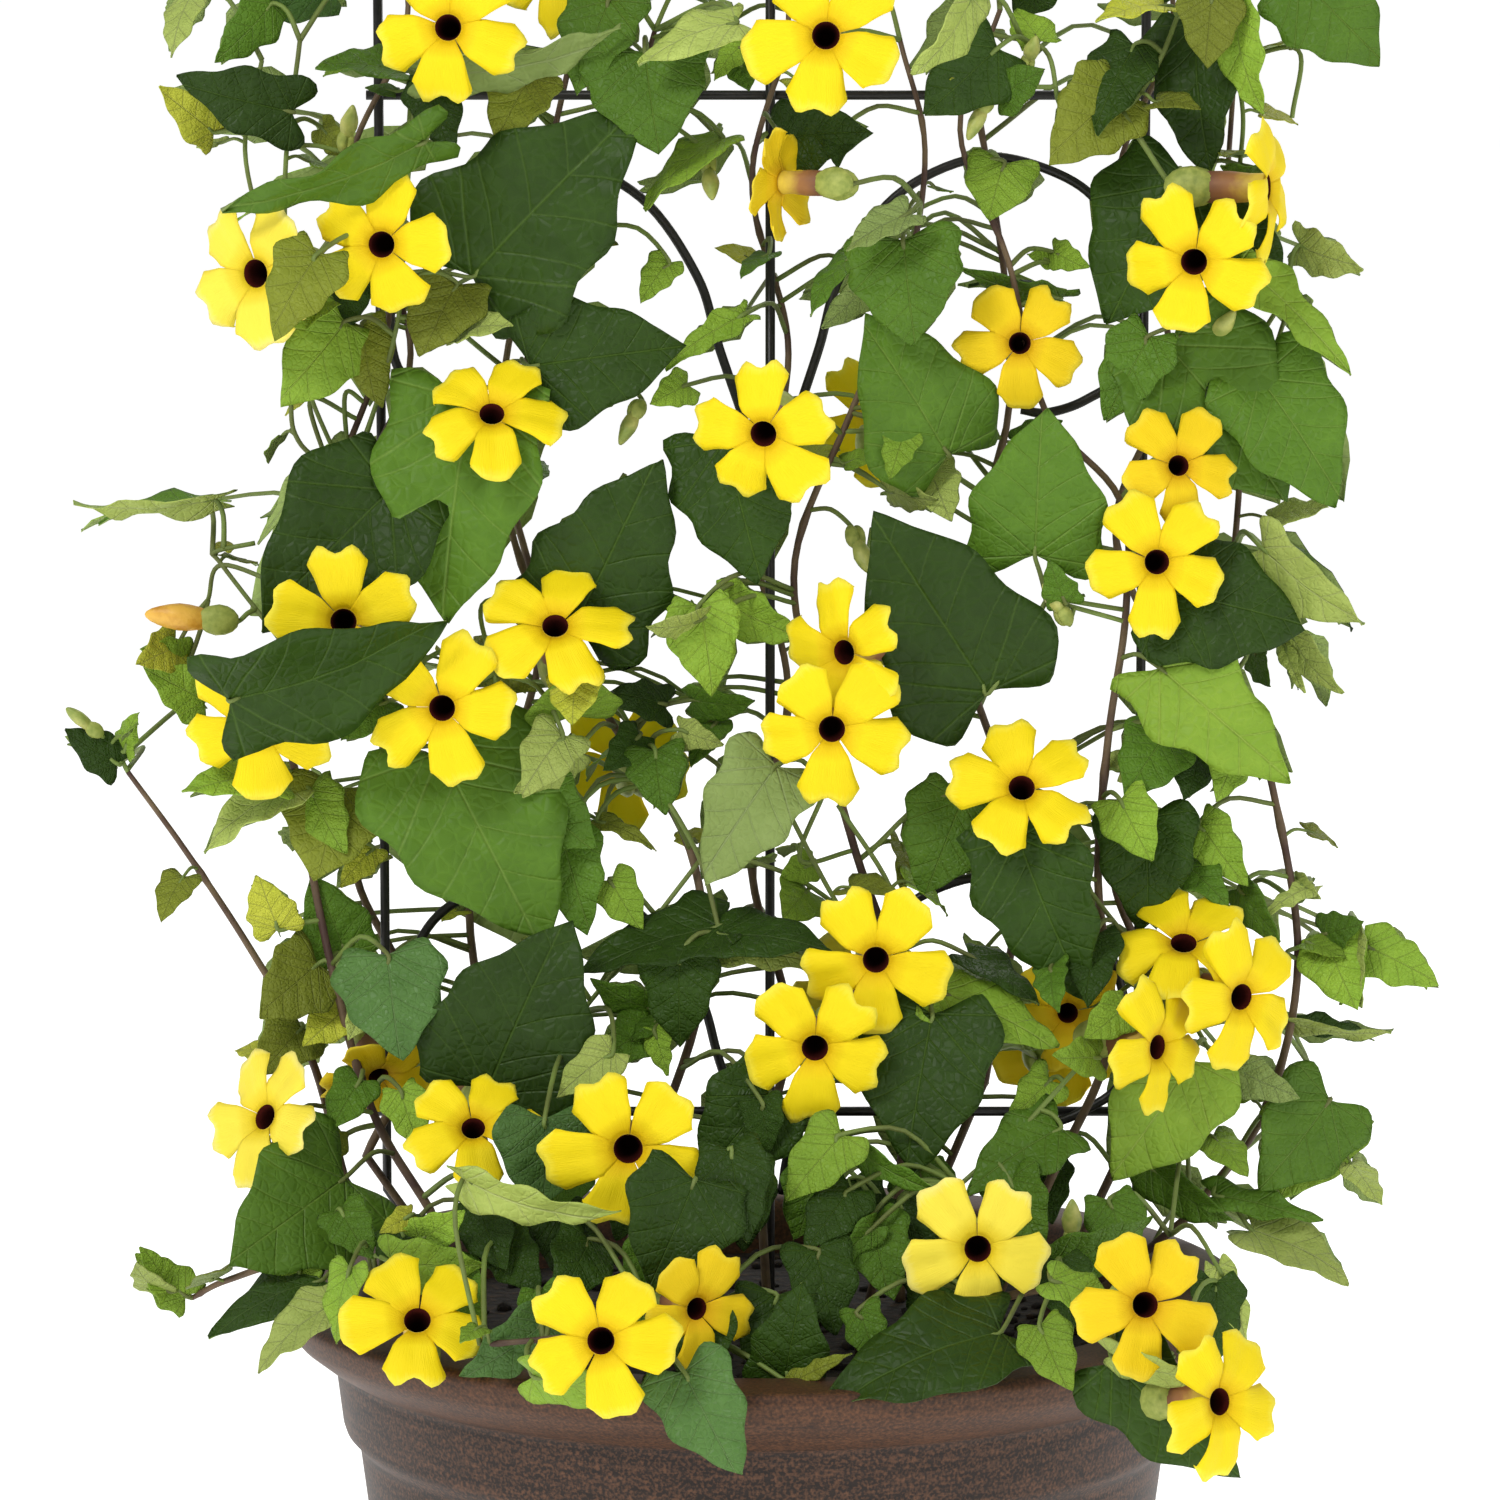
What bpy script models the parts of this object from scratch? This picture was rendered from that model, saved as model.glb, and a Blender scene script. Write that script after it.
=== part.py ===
"""Black eyed susan vine on a wire trellis, growing in a moulded bronze pot.

Metres, +Z up. The origin is on the pot's underside, at its centre, and -Y is the front.
"""

import math
from collections import namedtuple

import bmesh
import bpy
from mathutils import Matrix, Vector

MM = 0.001
SEAT_GAP = 0.3 * MM

# The pot: a 300 mm round planter with a deep rolled rim, filled to just under the rim
RIM_RADIUS = 150 * MM
POT_HEIGHT = 250 * MM
RIM_DEPTH = 21 * MM
NECK_RADIUS = 132.5 * MM
BAND_DEPTH = 25 * MM
BODY_RADIUS = 125 * MM
BASE_RADIUS = 98 * MM
WALL = 3 * MM
FLOOR = 4 * MM
SOIL_DEPTH_BELOW_RIM = 18 * MM
DRAIN_RADIUS = 6 * MM
DRAIN_RING = 62 * MM
DRAINS = 5
POT_SIDES = 48

# The trellis: three uprights, crossbars, two pairs of scrolls and an arched top, all round wire
WIRE_RADIUS = 1.5 * MM
TRELLIS_DEPTH = 15 * MM
UPRIGHTS = {"left": -117 * MM, "middle": 2.5 * MM, "right": 117 * MM}
LEG_END = 60 * MM
CROSSBARS = {"lower": 300 * MM, "upper": 616 * MM}
ARCH_FOOT = 700 * MM
ARCH_TOP = 800 * MM
SCROLL_TOPS = {"lower": 374.4 * MM, "upper": 597 * MM}

# The vine
STEM_RADIUS = 1.3 * MM
PETIOLE_RADIUS = 0.9 * MM
BLADE_THICKNESS = 1.0 * MM
FLOWER_RADIUS = 22 * MM
FLOWER_DEPTH = 30 * MM
TWINE_TURNS = 3
TWINE_RADII = {"left": 9.2 * MM, "middle": 5.6 * MM, "right": 8.2 * MM}

# The photograph's view, in a frame of 1500 x 1500 pixels
PHOTO_CENTRE = 750
FOCAL_PIXELS = 6514
VIEW_TILT = math.radians(8)
VIEW_TARGET = Vector((-3.7 * MM, 0, 416.5 * MM))
VIEW_DISTANCE = 2.0

Leaf = namedtuple("Leaf", "name tip base width roll")
Flower = namedtuple("Flower", "name centre facing")

# Each free stem is (u, v, depth) points from the soil up: pixels of the photograph, and
# millimetres behind the pot's centre line
FREE_STEMS = {
    "stem_left_front": (
        (480, 1340, -30), (430, 1210, -45), (372, 1110, -38), (330, 960, -32), (300, 800, -26),
        (280, 640, -24), (335, 480, -20), (385, 340, -16), (400, 180, -12), (425, 40, -8),
    ),
    "stem_far_left": (
        (440, 1335, -5), (345, 1180, -20), (310, 1055, -24), (251, 950, -20), (185, 850, -14),
        (128, 772, -10),
    ),
    "stem_centre_left": (
        (620, 1345, -20), (640, 1180, -48), (700, 1000, -40), (690, 850, -30), (610, 720, -22),
        (535, 600, -20), (500, 450, -18), (545, 320, -14), (610, 180, -10), (655, 30, -6),
    ),
    "stem_centre_right": (
        (860, 1340, -25), (900, 1190, -50), (905, 1010, -40), (855, 850, -32), (815, 700, -26),
        (795, 560, -24), (850, 415, -20), (905, 280, -18), (925, 150, -12), (900, 40, -6),
    ),
    "stem_front_right": (
        (985, 1335, -15), (1050, 1180, -42), (1110, 1040, -40), (1098, 880, -34), (1108, 740, -30),
        (1126, 610, -30), (1120, 500, -26), (1045, 410, -22), (1008, 260, -18), (960, 130, -14),
        (1000, 10, -8),
    ),
    "stem_right": (
        (1075, 1330, 5), (1190, 1215, -10), (1265, 1110, -16), (1298, 960, -16), (1272, 785, -12),
        (1232, 640, -8), (1240, 450, -4), (1225, 260, -2), (1235, 60, 0),
    ),
    "stem_low_left": (
        (455, 1345, -55), (390, 1285, -72), (300, 1262, -66), (228, 1280, -56), (192, 1298, -50),
    ),
    "stem_low_front": (
        (690, 1375, -85), (700, 1330, -108), (640, 1330, -128), (560, 1338, -140), (480, 1345, -138),
    ),
    "stem_low_right": (
        (965, 1370, -85), (990, 1300, -108), (1060, 1290, -118), (1140, 1325, -126), (1200, 1380, -124),
    ),
    "stem_back_left": (
        (560, 1330, 45), (500, 1100, 72), (470, 880, 76), (540, 650, 66), (500, 430, 58), (540, 200, 50),
        (590, -20, 44), (640, -190, 34),
    ),
    "stem_back_right": (
        (900, 1320, 50), (985, 1080, 74), (1020, 850, 78), (960, 620, 68), (1010, 400, 58), (990, 180, 50),
        (940, -40, 44), (880, -220, 34),
    ),
}

LEAVES = (
    Leaf("leaf_top_left", (631, 110, -42), (475, 278, -28), 0.66, 10),
    Leaf("leaf_top_right", (1178, 180, -26), (1206, 48, -14), 0.72, 0),
    Leaf("leaf_right_upper", (1290, 500, -30), (1168, 345, -22), 0.62, 0),
    Leaf("leaf_far_left", (66, 732, -16), (118, 764, -12), 0.75, 0),
    Leaf("leaf_left_big", (540, 945, -52), (440, 752, -40), 0.80, 0),
    Leaf("leaf_centre_big", (872, 515, -50), (988, 692, -40), 0.72, 0),
    Leaf("leaf_right_tip", (1440, 983, -24), (1366, 946, -18), 0.70, 0),
    Leaf("leaf_right_low", (1262, 1190, -42), (1330, 1100, -30), 0.80, 0),
    Leaf("leaf_left_low", (230, 1262, -92), (345, 1178, -62), 0.78, 0),
    Leaf("leaf_left_shoot", (136, 1258, -56), (186, 1296, -52), 0.75, 0),
    Leaf("leaf_low_dark", (560, 925, -72), (488, 1088, -64), 0.78, 0),
    Leaf("leaf_rim_middle", (737, 1477, -168), (684, 1372, -158), 0.74, 0),
    Leaf("leaf_rim_broad", (828, 1386, -152), (996, 1318, -132), 0.50, 30),
    Leaf("leaf_rim_right", (1240, 1480, -158), (1112, 1362, -148), 0.62, 0),
    Leaf("leaf_back_low_left", (420, 1180, 104), (500, 1010, 92), 0.78, 180),
    Leaf("leaf_back_low_right", (1080, 1160, 106), (1010, 980, 96), 0.78, 180),
    Leaf("leaf_back_left", (400, 640, 92), (505, 520, 80), 0.78, 180),
    Leaf("leaf_back_right", (1080, 560, 92), (985, 440, 80), 0.78, 180),
    Leaf("leaf_crown_left", (540, -260, 20), (620, -150, 28), 0.78, 0),
    Leaf("leaf_crown_right", (960, -300, 14), (895, -170, 26), 0.78, 0),
)

# A flower's facing is the direction its face looks in
FLOWERS = (
    Flower("flower_top_left", (447, 27, -52), (-0.1, -1, 0.1)),
    Flower("flower_top_middle", (826, 35, -56), (0, -1, 0.1)),
    Flower("flower_upper_right", (1193, 263, -52), (-0.2, -1, -0.1)),
    Flower("flower_middle", (762, 436, -62), (-0.2, -1, -0.2)),
    Flower("flower_centre", (832, 730, -70), (0, -1, 0)),
    Flower("flower_left_middle", (441, 709, -62), (-0.1, -1, 0)),
    Flower("flower_low_centre", (815, 1050, -88), (0, -1, -0.1)),
    Flower("flower_right_low", (1246, 998, -60), (0.3, -1, 0)),
    Flower("flower_low_left", (473, 1125, -90), (-0.2, -1, 0.1)),
    Flower("flower_rim_left", (600, 1341, -172), (-0.1, -1, 0.2)),
    Flower("flower_rim_right", (1147, 1305, -160), (0.2, -1, 0.2)),
    Flower("flower_back_left", (620, 760, 124), (-0.2, 1, 0.1)),
    Flower("flower_back_right", (880, 420, 112), (0.1, 1, 0.2)),
    Flower("flower_crown", (760, -180, -20), (0, -0.8, 0.7)),
)


def clear_scene():
    """Removes the start scene's objects."""
    for old in list(bpy.data.objects):
        bpy.data.objects.remove(old, do_unlink=True)


def new_collection(name):
    """A collection linked to the scene."""
    collection = bpy.data.collections.new(name)
    bpy.context.scene.collection.children.link(collection)
    return collection


def new_material(name, hex_colour, roughness, metallic=0.0):
    """A plain Principled material from an sRGB colour."""
    linear = []
    for place in (0, 2, 4):
        channel = int(hex_colour[place : place + 2], 16) / 255
        linear.append(channel / 12.92 if channel <= 0.04045 else ((channel + 0.055) / 1.055) ** 2.4)
    material = bpy.data.materials.new(name)
    material.use_nodes = True
    shader = material.node_tree.nodes["Principled BSDF"]
    shader.inputs["Base Color"].default_value = (*linear, 1)
    shader.inputs["Roughness"].default_value = roughness
    shader.inputs["Metallic"].default_value = metallic
    return material


clear_scene()
PARTS = new_collection("black_eyed_susan_vine")
CUTTERS = new_collection("cutters")
POT_BRONZE = new_material("pot_bronze", "4A3A2E", 0.45)
SOIL_PEAT = new_material("soil_peat", "241A13", 0.95)
WIRE_BLACK = new_material("wire_black", "151515", 0.4)
STEM_BROWN = new_material("stem_brown", "6A5A38", 0.7)
LEAF_GREEN = new_material("leaf_green", "3F6F2C", 0.5)
PETAL_YELLOW = new_material("petal_yellow", "F7D91F", 0.6)


def add_object(name, mesh, material):
    """Puts a mesh in the scene as a named part."""
    part = bpy.data.objects.new(name, mesh)
    mesh.materials.clear()
    mesh.materials.append(material)
    PARTS.objects.link(part)
    return part


def make_cutter(helper):
    """Hides a helper that only a Boolean uses."""
    for collection in list(helper.users_collection):
        collection.objects.unlink(helper)
    CUTTERS.objects.link(helper)
    helper.hide_render = True
    helper.display_type = "WIRE"


def join(part, helper, operation):
    """Adds or cuts a helper's shape with a live Boolean."""
    boolean = part.modifiers.new(operation.lower(), "BOOLEAN")
    boolean.operation = operation
    boolean.object = helper
    make_cutter(helper)


def sight(u, v, depth_mm):
    """The place that the photograph shows at pixel (u, v), depth_mm behind the pot's centre line."""
    forward = Vector((0, math.cos(VIEW_TILT), -math.sin(VIEW_TILT)))
    up = Vector((0, math.sin(VIEW_TILT), math.cos(VIEW_TILT)))
    right = Vector((1, 0, 0))
    eye = VIEW_TARGET - forward * VIEW_DISTANCE
    ray = forward * FOCAL_PIXELS + right * (u - PHOTO_CENTRE) - up * (v - PHOTO_CENTRE)
    return eye + ray * ((depth_mm * MM - eye.y) / ray.y)


def smooth_path(points, steps):
    """A smooth curve through the points, with so many steps between each two."""
    ends = [points[0] * 2 - points[1], *points, points[-1] * 2 - points[-2]]
    path = []
    for before, start, end, after in zip(ends, ends[1:], ends[2:], ends[3:]):
        for step in range(steps):
            t = step / steps
            path.append(
                (start * 2 + (end - before) * t + (before * 2 - start * 5 + end * 4 - after) * t**2
                 + (start * 3 - before - end * 3 + after) * t**3) / 2
            )
    path.append(points[-1])
    return path


def tube(name, path, radius, material, swell=None):
    """A round wire or stem along a path; swell gives a factor on the radius at each point."""
    curve = bpy.data.curves.new(name, "CURVE")
    curve.dimensions = "3D"
    curve.bevel_depth = radius
    curve.bevel_resolution = 2
    curve.use_fill_caps = True
    spline = curve.splines.new("POLY")
    spline.points.add(len(path) - 1)
    for index, place in enumerate(path):
        spline.points[index].co = (*place, 1)
        spline.points[index].radius = swell[index] if swell else 1
    guide = bpy.data.objects.new(name, curve)
    PARTS.objects.link(guide)
    bpy.context.view_layer.update()
    evaluated = guide.evaluated_get(bpy.context.evaluated_depsgraph_get())
    mesh = bpy.data.meshes.new_from_object(evaluated)
    place = guide.matrix_world.copy()
    bpy.data.objects.remove(guide, do_unlink=True)
    welded = bmesh.new()
    welded.from_mesh(mesh)
    bmesh.ops.remove_doubles(welded, verts=welded.verts, dist=0.001 * MM)
    bmesh.ops.recalc_face_normals(welded, faces=welded.faces)
    welded.to_mesh(mesh)
    welded.free()
    mesh.shade_smooth()
    part = add_object(name, mesh, material)
    part.matrix_world = place
    return part


def turned(name, profile, material):
    """A turned solid from (radius, height) points that run down its outer side."""
    outline = bmesh.new()
    corners = [outline.verts.new((radius, 0, height)) for radius, height in profile]
    for first, second in zip(corners, corners[1:]):
        outline.edges.new((first, second))
    mesh = bpy.data.meshes.new(name)
    outline.to_mesh(mesh)
    outline.free()
    part = add_object(name, mesh, material)
    screw = part.modifiers.new("turn", "SCREW")
    screw.steps = POT_SIDES
    screw.render_steps = POT_SIDES
    screw.use_merge_vertices = True
    screw.merge_threshold = 0.01 * MM
    return part


def cylinder_cutter(name, place, radius, height, sides):
    """A cylinder to cut with, centred on a place."""
    shape = bmesh.new()
    bmesh.ops.create_cone(
        shape, cap_ends=True, segments=sides, radius1=radius, radius2=radius, depth=height,
        matrix=Matrix.Translation(place),
    )
    mesh = bpy.data.meshes.new(name)
    shape.to_mesh(mesh)
    shape.free()
    return add_object(name, mesh, SOIL_PEAT)


def pot_inner_radius(height):
    """The radius of the pot's inside, which tapers straight from the neck to the floor."""
    taper = (height - FLOOR) / (POT_HEIGHT - RIM_DEPTH - BAND_DEPTH - FLOOR)
    return (BASE_RADIUS - WALL) + (BODY_RADIUS - BASE_RADIUS) * min(taper, 1)


def build_pot():
    """The pot's shell, with drain holes in its floor."""
    neck = POT_HEIGHT - RIM_DEPTH
    shoulder = neck - BAND_DEPTH
    profile = [
        (0, FLOOR),
        (pot_inner_radius(FLOOR), FLOOR),
        (pot_inner_radius(shoulder), shoulder),
        (pot_inner_radius(shoulder), POT_HEIGHT - 3 * MM),
        (BODY_RADIUS + 4 * MM, POT_HEIGHT),
        (RIM_RADIUS - 1.5 * MM, POT_HEIGHT),
        (RIM_RADIUS, POT_HEIGHT - 2 * MM),
        (RIM_RADIUS - 2 * MM, POT_HEIGHT - 9 * MM),
        (NECK_RADIUS + 6 * MM, neck + 3 * MM),
        (NECK_RADIUS, neck),
        (NECK_RADIUS - 2.8 * MM, shoulder + 3 * MM),
        (BODY_RADIUS, shoulder - 3 * MM),
        (BASE_RADIUS + 1 * MM, 3 * MM),
        (BASE_RADIUS - 2 * MM, 0),
        (0, 0),
    ]
    pot = turned("pot", profile, POT_BRONZE)
    for drain in range(DRAINS):
        turn = Matrix.Rotation(math.tau * drain / DRAINS, 3, "Z")
        place = turn @ Vector((DRAIN_RING, 0, FLOOR / 2))
        cutter = cylinder_cutter(f"drain_cutter_{drain}", place, DRAIN_RADIUS, 4 * FLOOR, 12)
        join(pot, cutter, "DIFFERENCE")


SOIL_TOP = POT_HEIGHT - SOIL_DEPTH_BELOW_RIM


def build_soil():
    """The soil, which fills the pot and has a hole for each trellis leg."""
    shoulder = POT_HEIGHT - RIM_DEPTH - BAND_DEPTH
    profile = [
        (0, SOIL_TOP),
        (pot_inner_radius(shoulder) - SEAT_GAP, SOIL_TOP),
        (pot_inner_radius(shoulder) - SEAT_GAP, shoulder),
        (pot_inner_radius(FLOOR) - SEAT_GAP, FLOOR + SEAT_GAP),
        (0, FLOOR + SEAT_GAP),
    ]
    soil = turned("soil", profile, SOIL_PEAT)
    hole_height = SOIL_TOP + WALL - LEG_END + SEAT_GAP
    for side, x in UPRIGHTS.items():
        centre = Vector((x, TRELLIS_DEPTH, LEG_END - SEAT_GAP + hole_height / 2))
        if side != "middle":
            centre.x = math.copysign(leg_x(), x)
        cutter = cylinder_cutter(f"leg_cutter_{side}", centre, WIRE_RADIUS + SEAT_GAP, hole_height, 12)
        join(soil, cutter, "DIFFERENCE")


def leg_x():
    """How far from the middle an outer leg stands in the soil, inside the pot's tapered wall."""
    return pot_inner_radius(LEG_END) - 12 * MM


def build_uprights():
    """The three uprights. The outer two jog inwards at the soil, to clear the pot's wall."""
    for side, x in UPRIGHTS.items():
        foot_x = x if side == "middle" else math.copysign(leg_x(), x)
        path = [
            Vector((foot_x, TRELLIS_DEPTH, LEG_END)),
            Vector((foot_x, TRELLIS_DEPTH, SOIL_TOP + 4 * MM)),
            Vector((x, TRELLIS_DEPTH, SOIL_TOP + 44 * MM)),
        ]
        top = ARCH_TOP - WIRE_RADIUS * 2 - SEAT_GAP if side == "middle" else ARCH_FOOT
        path.append(Vector((x, TRELLIS_DEPTH, top)))
        tube(f"trellis_upright_{side}", path, WIRE_RADIUS, WIRE_BLACK)


def build_crossbars():
    """The crossbars, welded on behind the uprights."""
    overhang = 4 * MM
    depth = TRELLIS_DEPTH + 2 * WIRE_RADIUS + SEAT_GAP
    for place, height in CROSSBARS.items():
        path = [
            Vector((UPRIGHTS["left"] - overhang, depth, height)),
            Vector((UPRIGHTS["right"] + overhang, depth, height)),
        ]
        tube(f"trellis_crossbar_{place}", path, WIRE_RADIUS, WIRE_BLACK)


def build_arch():
    """The arched top, which stands on the ends of the outer uprights."""
    foot = ARCH_FOOT + SEAT_GAP
    steps = 16
    path = []
    for step in range(steps + 1):
        angle = math.pi * step / steps
        height = foot + (ARCH_TOP - foot) * math.sin(angle)
        path.append(Vector((UPRIGHTS["right"] * math.cos(angle), TRELLIS_DEPTH, height)))
    tube("trellis_arch", path, WIRE_RADIUS, WIRE_BLACK)


# A scroll, as (millimetres from the middle upright, millimetres above its top), in a bay this wide
BAY = 114.5
SCROLL_ROUTE = (
    (3.7, -100), (6.0, -86), (15, -58), (21.5, -36), (38, -12), (63, 0), (86, -4), (102, -16), (110.9, -42),
    (109.5, -64), (97, -74), (85, -78), (77, -77),
)


def build_scrolls():
    """Two pairs of mirrored scrolls between the uprights."""
    middle = UPRIGHTS["middle"]
    for place, top in SCROLL_TOPS.items():
        for side in ("left", "right"):
            bay = UPRIGHTS[side] - middle
            route = [
                Vector((middle + bay * across / BAY, TRELLIS_DEPTH, top + down * MM))
                for across, down in SCROLL_ROUTE
            ]
            tube(f"trellis_scroll_{place}_{side}", smooth_path(route, 2), WIRE_RADIUS, WIRE_BLACK)


def build_stems():
    """The stems that climb freely. Returns each stem's path."""
    paths = {}
    for name, points in FREE_STEMS.items():
        route = [sight(*point) for point in points]
        paths[name] = rooted(route[0], smooth_path(route[1:], 2))
    for side, x in UPRIGHTS.items():
        foot = Vector((x * 0.75, TRELLIS_DEPTH - 14 * MM, SOIL_TOP))
        paths[f"stem_twined_{side}"] = rooted(foot, twined_path(x, TWINE_RADII[side]))
    for name, path in paths.items():
        tube(name, path, STEM_RADIUS, STEM_BROWN)
    return paths


def rooted(foot, path):
    """The path of a stem that leaves the soil upright at its foot."""
    ground = Vector((foot.x, foot.y, SOIL_TOP + SEAT_GAP))
    return [ground, ground + Vector((0, 0, 7 * MM)), *path]


def twined_path(x, loose):
    """A stem that winds up round an upright, passing in front of it at each crossbar."""
    foot = SOIL_TOP + 56 * MM
    top = ARCH_FOOT - 20 * MM
    pitch = (CROSSBARS["upper"] - CROSSBARS["lower"]) / TWINE_TURNS
    steps = 30
    path = []
    for step in range(steps + 1):
        height = foot + (top - foot) * step / steps
        angle = math.tau * (height - CROSSBARS["lower"]) / pitch - math.pi / 2
        path.append(Vector((x + loose * math.cos(angle), TRELLIS_DEPTH + loose * math.sin(angle), height)))
    return path


def nearest_on(paths, place):
    """The nearest place on any stem."""
    best = None
    for path in paths.values():
        for start, end in zip(path, path[1:]):
            along = end - start
            share = max(0, min(1, (place - start).dot(along) / along.length_squared))
            near = start + along * share
            if best is None or (near - place).length < (best - place).length:
                best = near
    return best


def blade_half_width(t):
    """Half the width of a heart-shaped blade at t, from base (0) to tip (1), with the widest as 1."""
    shape = ((0, 0.42), (0.12, 0.88), (0.3, 1.0), (0.55, 0.78), (0.8, 0.36), (1, 0.05))
    for (t0, w0), (t1, w1) in zip(shape, shape[1:]):
        if t <= t1:
            return w0 + (w1 - w0) * (t - t0) / (t1 - t0)
    return shape[-1][1]


def blade_mesh(name, base, tip, width, roll):
    """A thin leaf blade, slightly cupped, between its base and its tip."""
    along = tip - base
    length = along.length
    along.normalize()
    facing = Vector((0, -math.cos(VIEW_TILT), math.sin(VIEW_TILT)))
    toward = Matrix.Rotation(math.radians(roll), 3, along) @ facing
    across = along.cross(toward).normalized()
    upper = across.cross(along)
    blade = bmesh.new()
    bmesh.ops.create_grid(blade, x_segments=4, y_segments=5, size=1)
    for corner in blade.verts:
        share, t = corner.co.x, (corner.co.y + 1) / 2
        half = blade_half_width(t) * width * length / 2
        cup = 0.06 * length * (share**2 - math.sin(math.pi * t))
        corner.co = base + along * (t * length) + across * (share * half) + upper * cup
    mesh = bpy.data.meshes.new(name)
    blade.to_mesh(mesh)
    blade.free()
    return mesh


def build_leaves(stems):
    """Each leaf: a blade on a petiole that reaches to the nearest stem."""
    for leaf in LEAVES:
        base, tip = sight(*leaf.base), sight(*leaf.tip)
        part = add_object(leaf.name, blade_mesh(leaf.name, base, tip, leaf.width, leaf.roll), LEAF_GREEN)
        shell = part.modifiers.new("thickness", "SOLIDIFY")
        shell.thickness = BLADE_THICKNESS
        shell.offset = 0
        node = nearest_on(stems, base)
        start = node + (base - node).normalized() * (STEM_RADIUS + SEAT_GAP)
        inside = base + (tip - base) * 0.12
        petiole = tube(f"{leaf.name}_petiole", [start, base, inside], PETIOLE_RADIUS, LEAF_GREEN)
        join(part, petiole, "UNION")


# A flower's outline along its axis: (share of its depth from the face back, radius in mm)
FLOWER_OUTLINE = (
    (1.0, 1.0), (0.93, 4.5), (0.75, 7.0), (0.55, 4.0), (0.35, 4.6), (0.12, 7.5), (0.07, 21.0), (0.0, 22.0),
)


def build_flowers(stems):
    """Each flower: a pedicel, bracts, tube and face turned about one bent axis."""
    for flower in FLOWERS:
        centre = sight(*flower.centre)
        back = -Vector(flower.facing).normalized()
        bracts = centre + back * FLOWER_DEPTH
        node = nearest_on(stems, bracts)
        start = node + (bracts - node).normalized() * (STEM_RADIUS + SEAT_GAP)
        path = [start]
        radii = [PETIOLE_RADIUS / FLOWER_RADIUS]
        for share, radius in FLOWER_OUTLINE:
            path.append(centre + back * FLOWER_DEPTH * share)
            radii.append(radius * MM / FLOWER_RADIUS)
        tube(flower.name, path, FLOWER_RADIUS, PETAL_YELLOW, swell=radii)


def main():
    """Builds the whole plant in its pot."""
    build_pot()
    build_soil()
    build_uprights()
    build_crossbars()
    build_arch()
    build_scrolls()
    stems = build_stems()
    build_leaves(stems)
    build_flowers(stems)
    bpy.context.view_layer.update()


main()
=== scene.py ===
# %% [markdown]
# # A black eyed susan vine on a wire trellis
# A young climber in a bronze plastic pot. Its stems twine up a black wire trellis, and its heart-shaped
# leaves and dark-eyed yellow flowers hide most of the wire. The CAD frame gives the place of every main
# part, and this lesson builds the plant that the eye sees round that frame.

# %% Load the frame
import math
import random

import bmesh
import bpy
from mathutils import Matrix, Vector, noise


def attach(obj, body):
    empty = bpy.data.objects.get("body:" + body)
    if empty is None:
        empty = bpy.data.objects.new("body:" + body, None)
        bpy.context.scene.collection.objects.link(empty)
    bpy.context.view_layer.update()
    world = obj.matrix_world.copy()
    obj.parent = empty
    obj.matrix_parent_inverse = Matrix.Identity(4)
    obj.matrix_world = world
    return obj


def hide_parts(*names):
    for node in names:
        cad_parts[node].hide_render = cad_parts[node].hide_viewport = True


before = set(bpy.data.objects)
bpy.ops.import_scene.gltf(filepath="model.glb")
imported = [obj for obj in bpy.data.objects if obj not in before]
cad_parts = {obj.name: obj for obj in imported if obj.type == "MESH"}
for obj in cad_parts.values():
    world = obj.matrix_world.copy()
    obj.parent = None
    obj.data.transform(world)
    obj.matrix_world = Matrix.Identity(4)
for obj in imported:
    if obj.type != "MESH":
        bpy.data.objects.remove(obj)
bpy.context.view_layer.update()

MM = 0.001

# %% [markdown]
# ## The camera
# The photograph looks down on the plant by eight degrees, from two metres off. A place on the plant can
# then be named by the pixel where the photograph shows it and by its depth, which is how the leaves and
# flowers below are written down. The depth is in millimetres behind the pot's centre line.

# %% Camera and lines of sight
PHOTO_SIZE = 1500
FOCAL_PIXELS = 6514
SENSOR = 36
VIEW_TILT = math.radians(8)
VIEW_TARGET = Vector((-3.7 * MM, 0, 416.5 * MM))
VIEW_DISTANCE = 2.0
FORWARD = Vector((0, math.cos(VIEW_TILT), -math.sin(VIEW_TILT)))
UPWARD = Vector((0, math.sin(VIEW_TILT), math.cos(VIEW_TILT)))
SIDEWAYS = Vector((1, 0, 0))
EYE = VIEW_TARGET - FORWARD * VIEW_DISTANCE


def sight(u, v, depth_mm):
    """The place that the photograph shows at pixel (u, v), depth_mm behind the pot's centre line."""
    ray = FORWARD * FOCAL_PIXELS + SIDEWAYS * (u - PHOTO_SIZE / 2) - UPWARD * (v - PHOTO_SIZE / 2)
    return EYE + ray * ((depth_mm * MM - EYE.y) / ray.y)


def add_camera():
    """The camera, at the photograph's place."""
    camera = bpy.data.objects.new("camera", bpy.data.cameras.new("camera"))
    camera.data.sensor_width = SENSOR
    camera.data.lens = SENSOR * FOCAL_PIXELS / PHOTO_SIZE
    camera.data.clip_end = 200
    camera.location = EYE
    camera.rotation_euler = (math.pi / 2 - VIEW_TILT, 0, 0)
    bpy.context.collection.objects.link(camera)
    bpy.context.scene.camera = camera
    return camera


print("camera:", add_camera().location)

# %% [markdown]
# ## Making materials
# Every finish here is a Principled shader fed by procedural nodes. One function turns a paint-chart colour
# to the linear light that a shader wants. Another adds a single node, sets it and joins it up.

# %% Helpers for materials
MATH, MIX, RAMP = "ShaderNodeMath", "ShaderNodeMix", "ShaderNodeValToRGB"
NOISE, BUMP, RANGE = "ShaderNodeTexNoise", "ShaderNodeBump", "ShaderNodeMapRange"
PLACE, SPLIT, UV_MAP = "ShaderNodeTexCoord", "ShaderNodeSeparateXYZ", "ShaderNodeUVMap"


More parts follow.
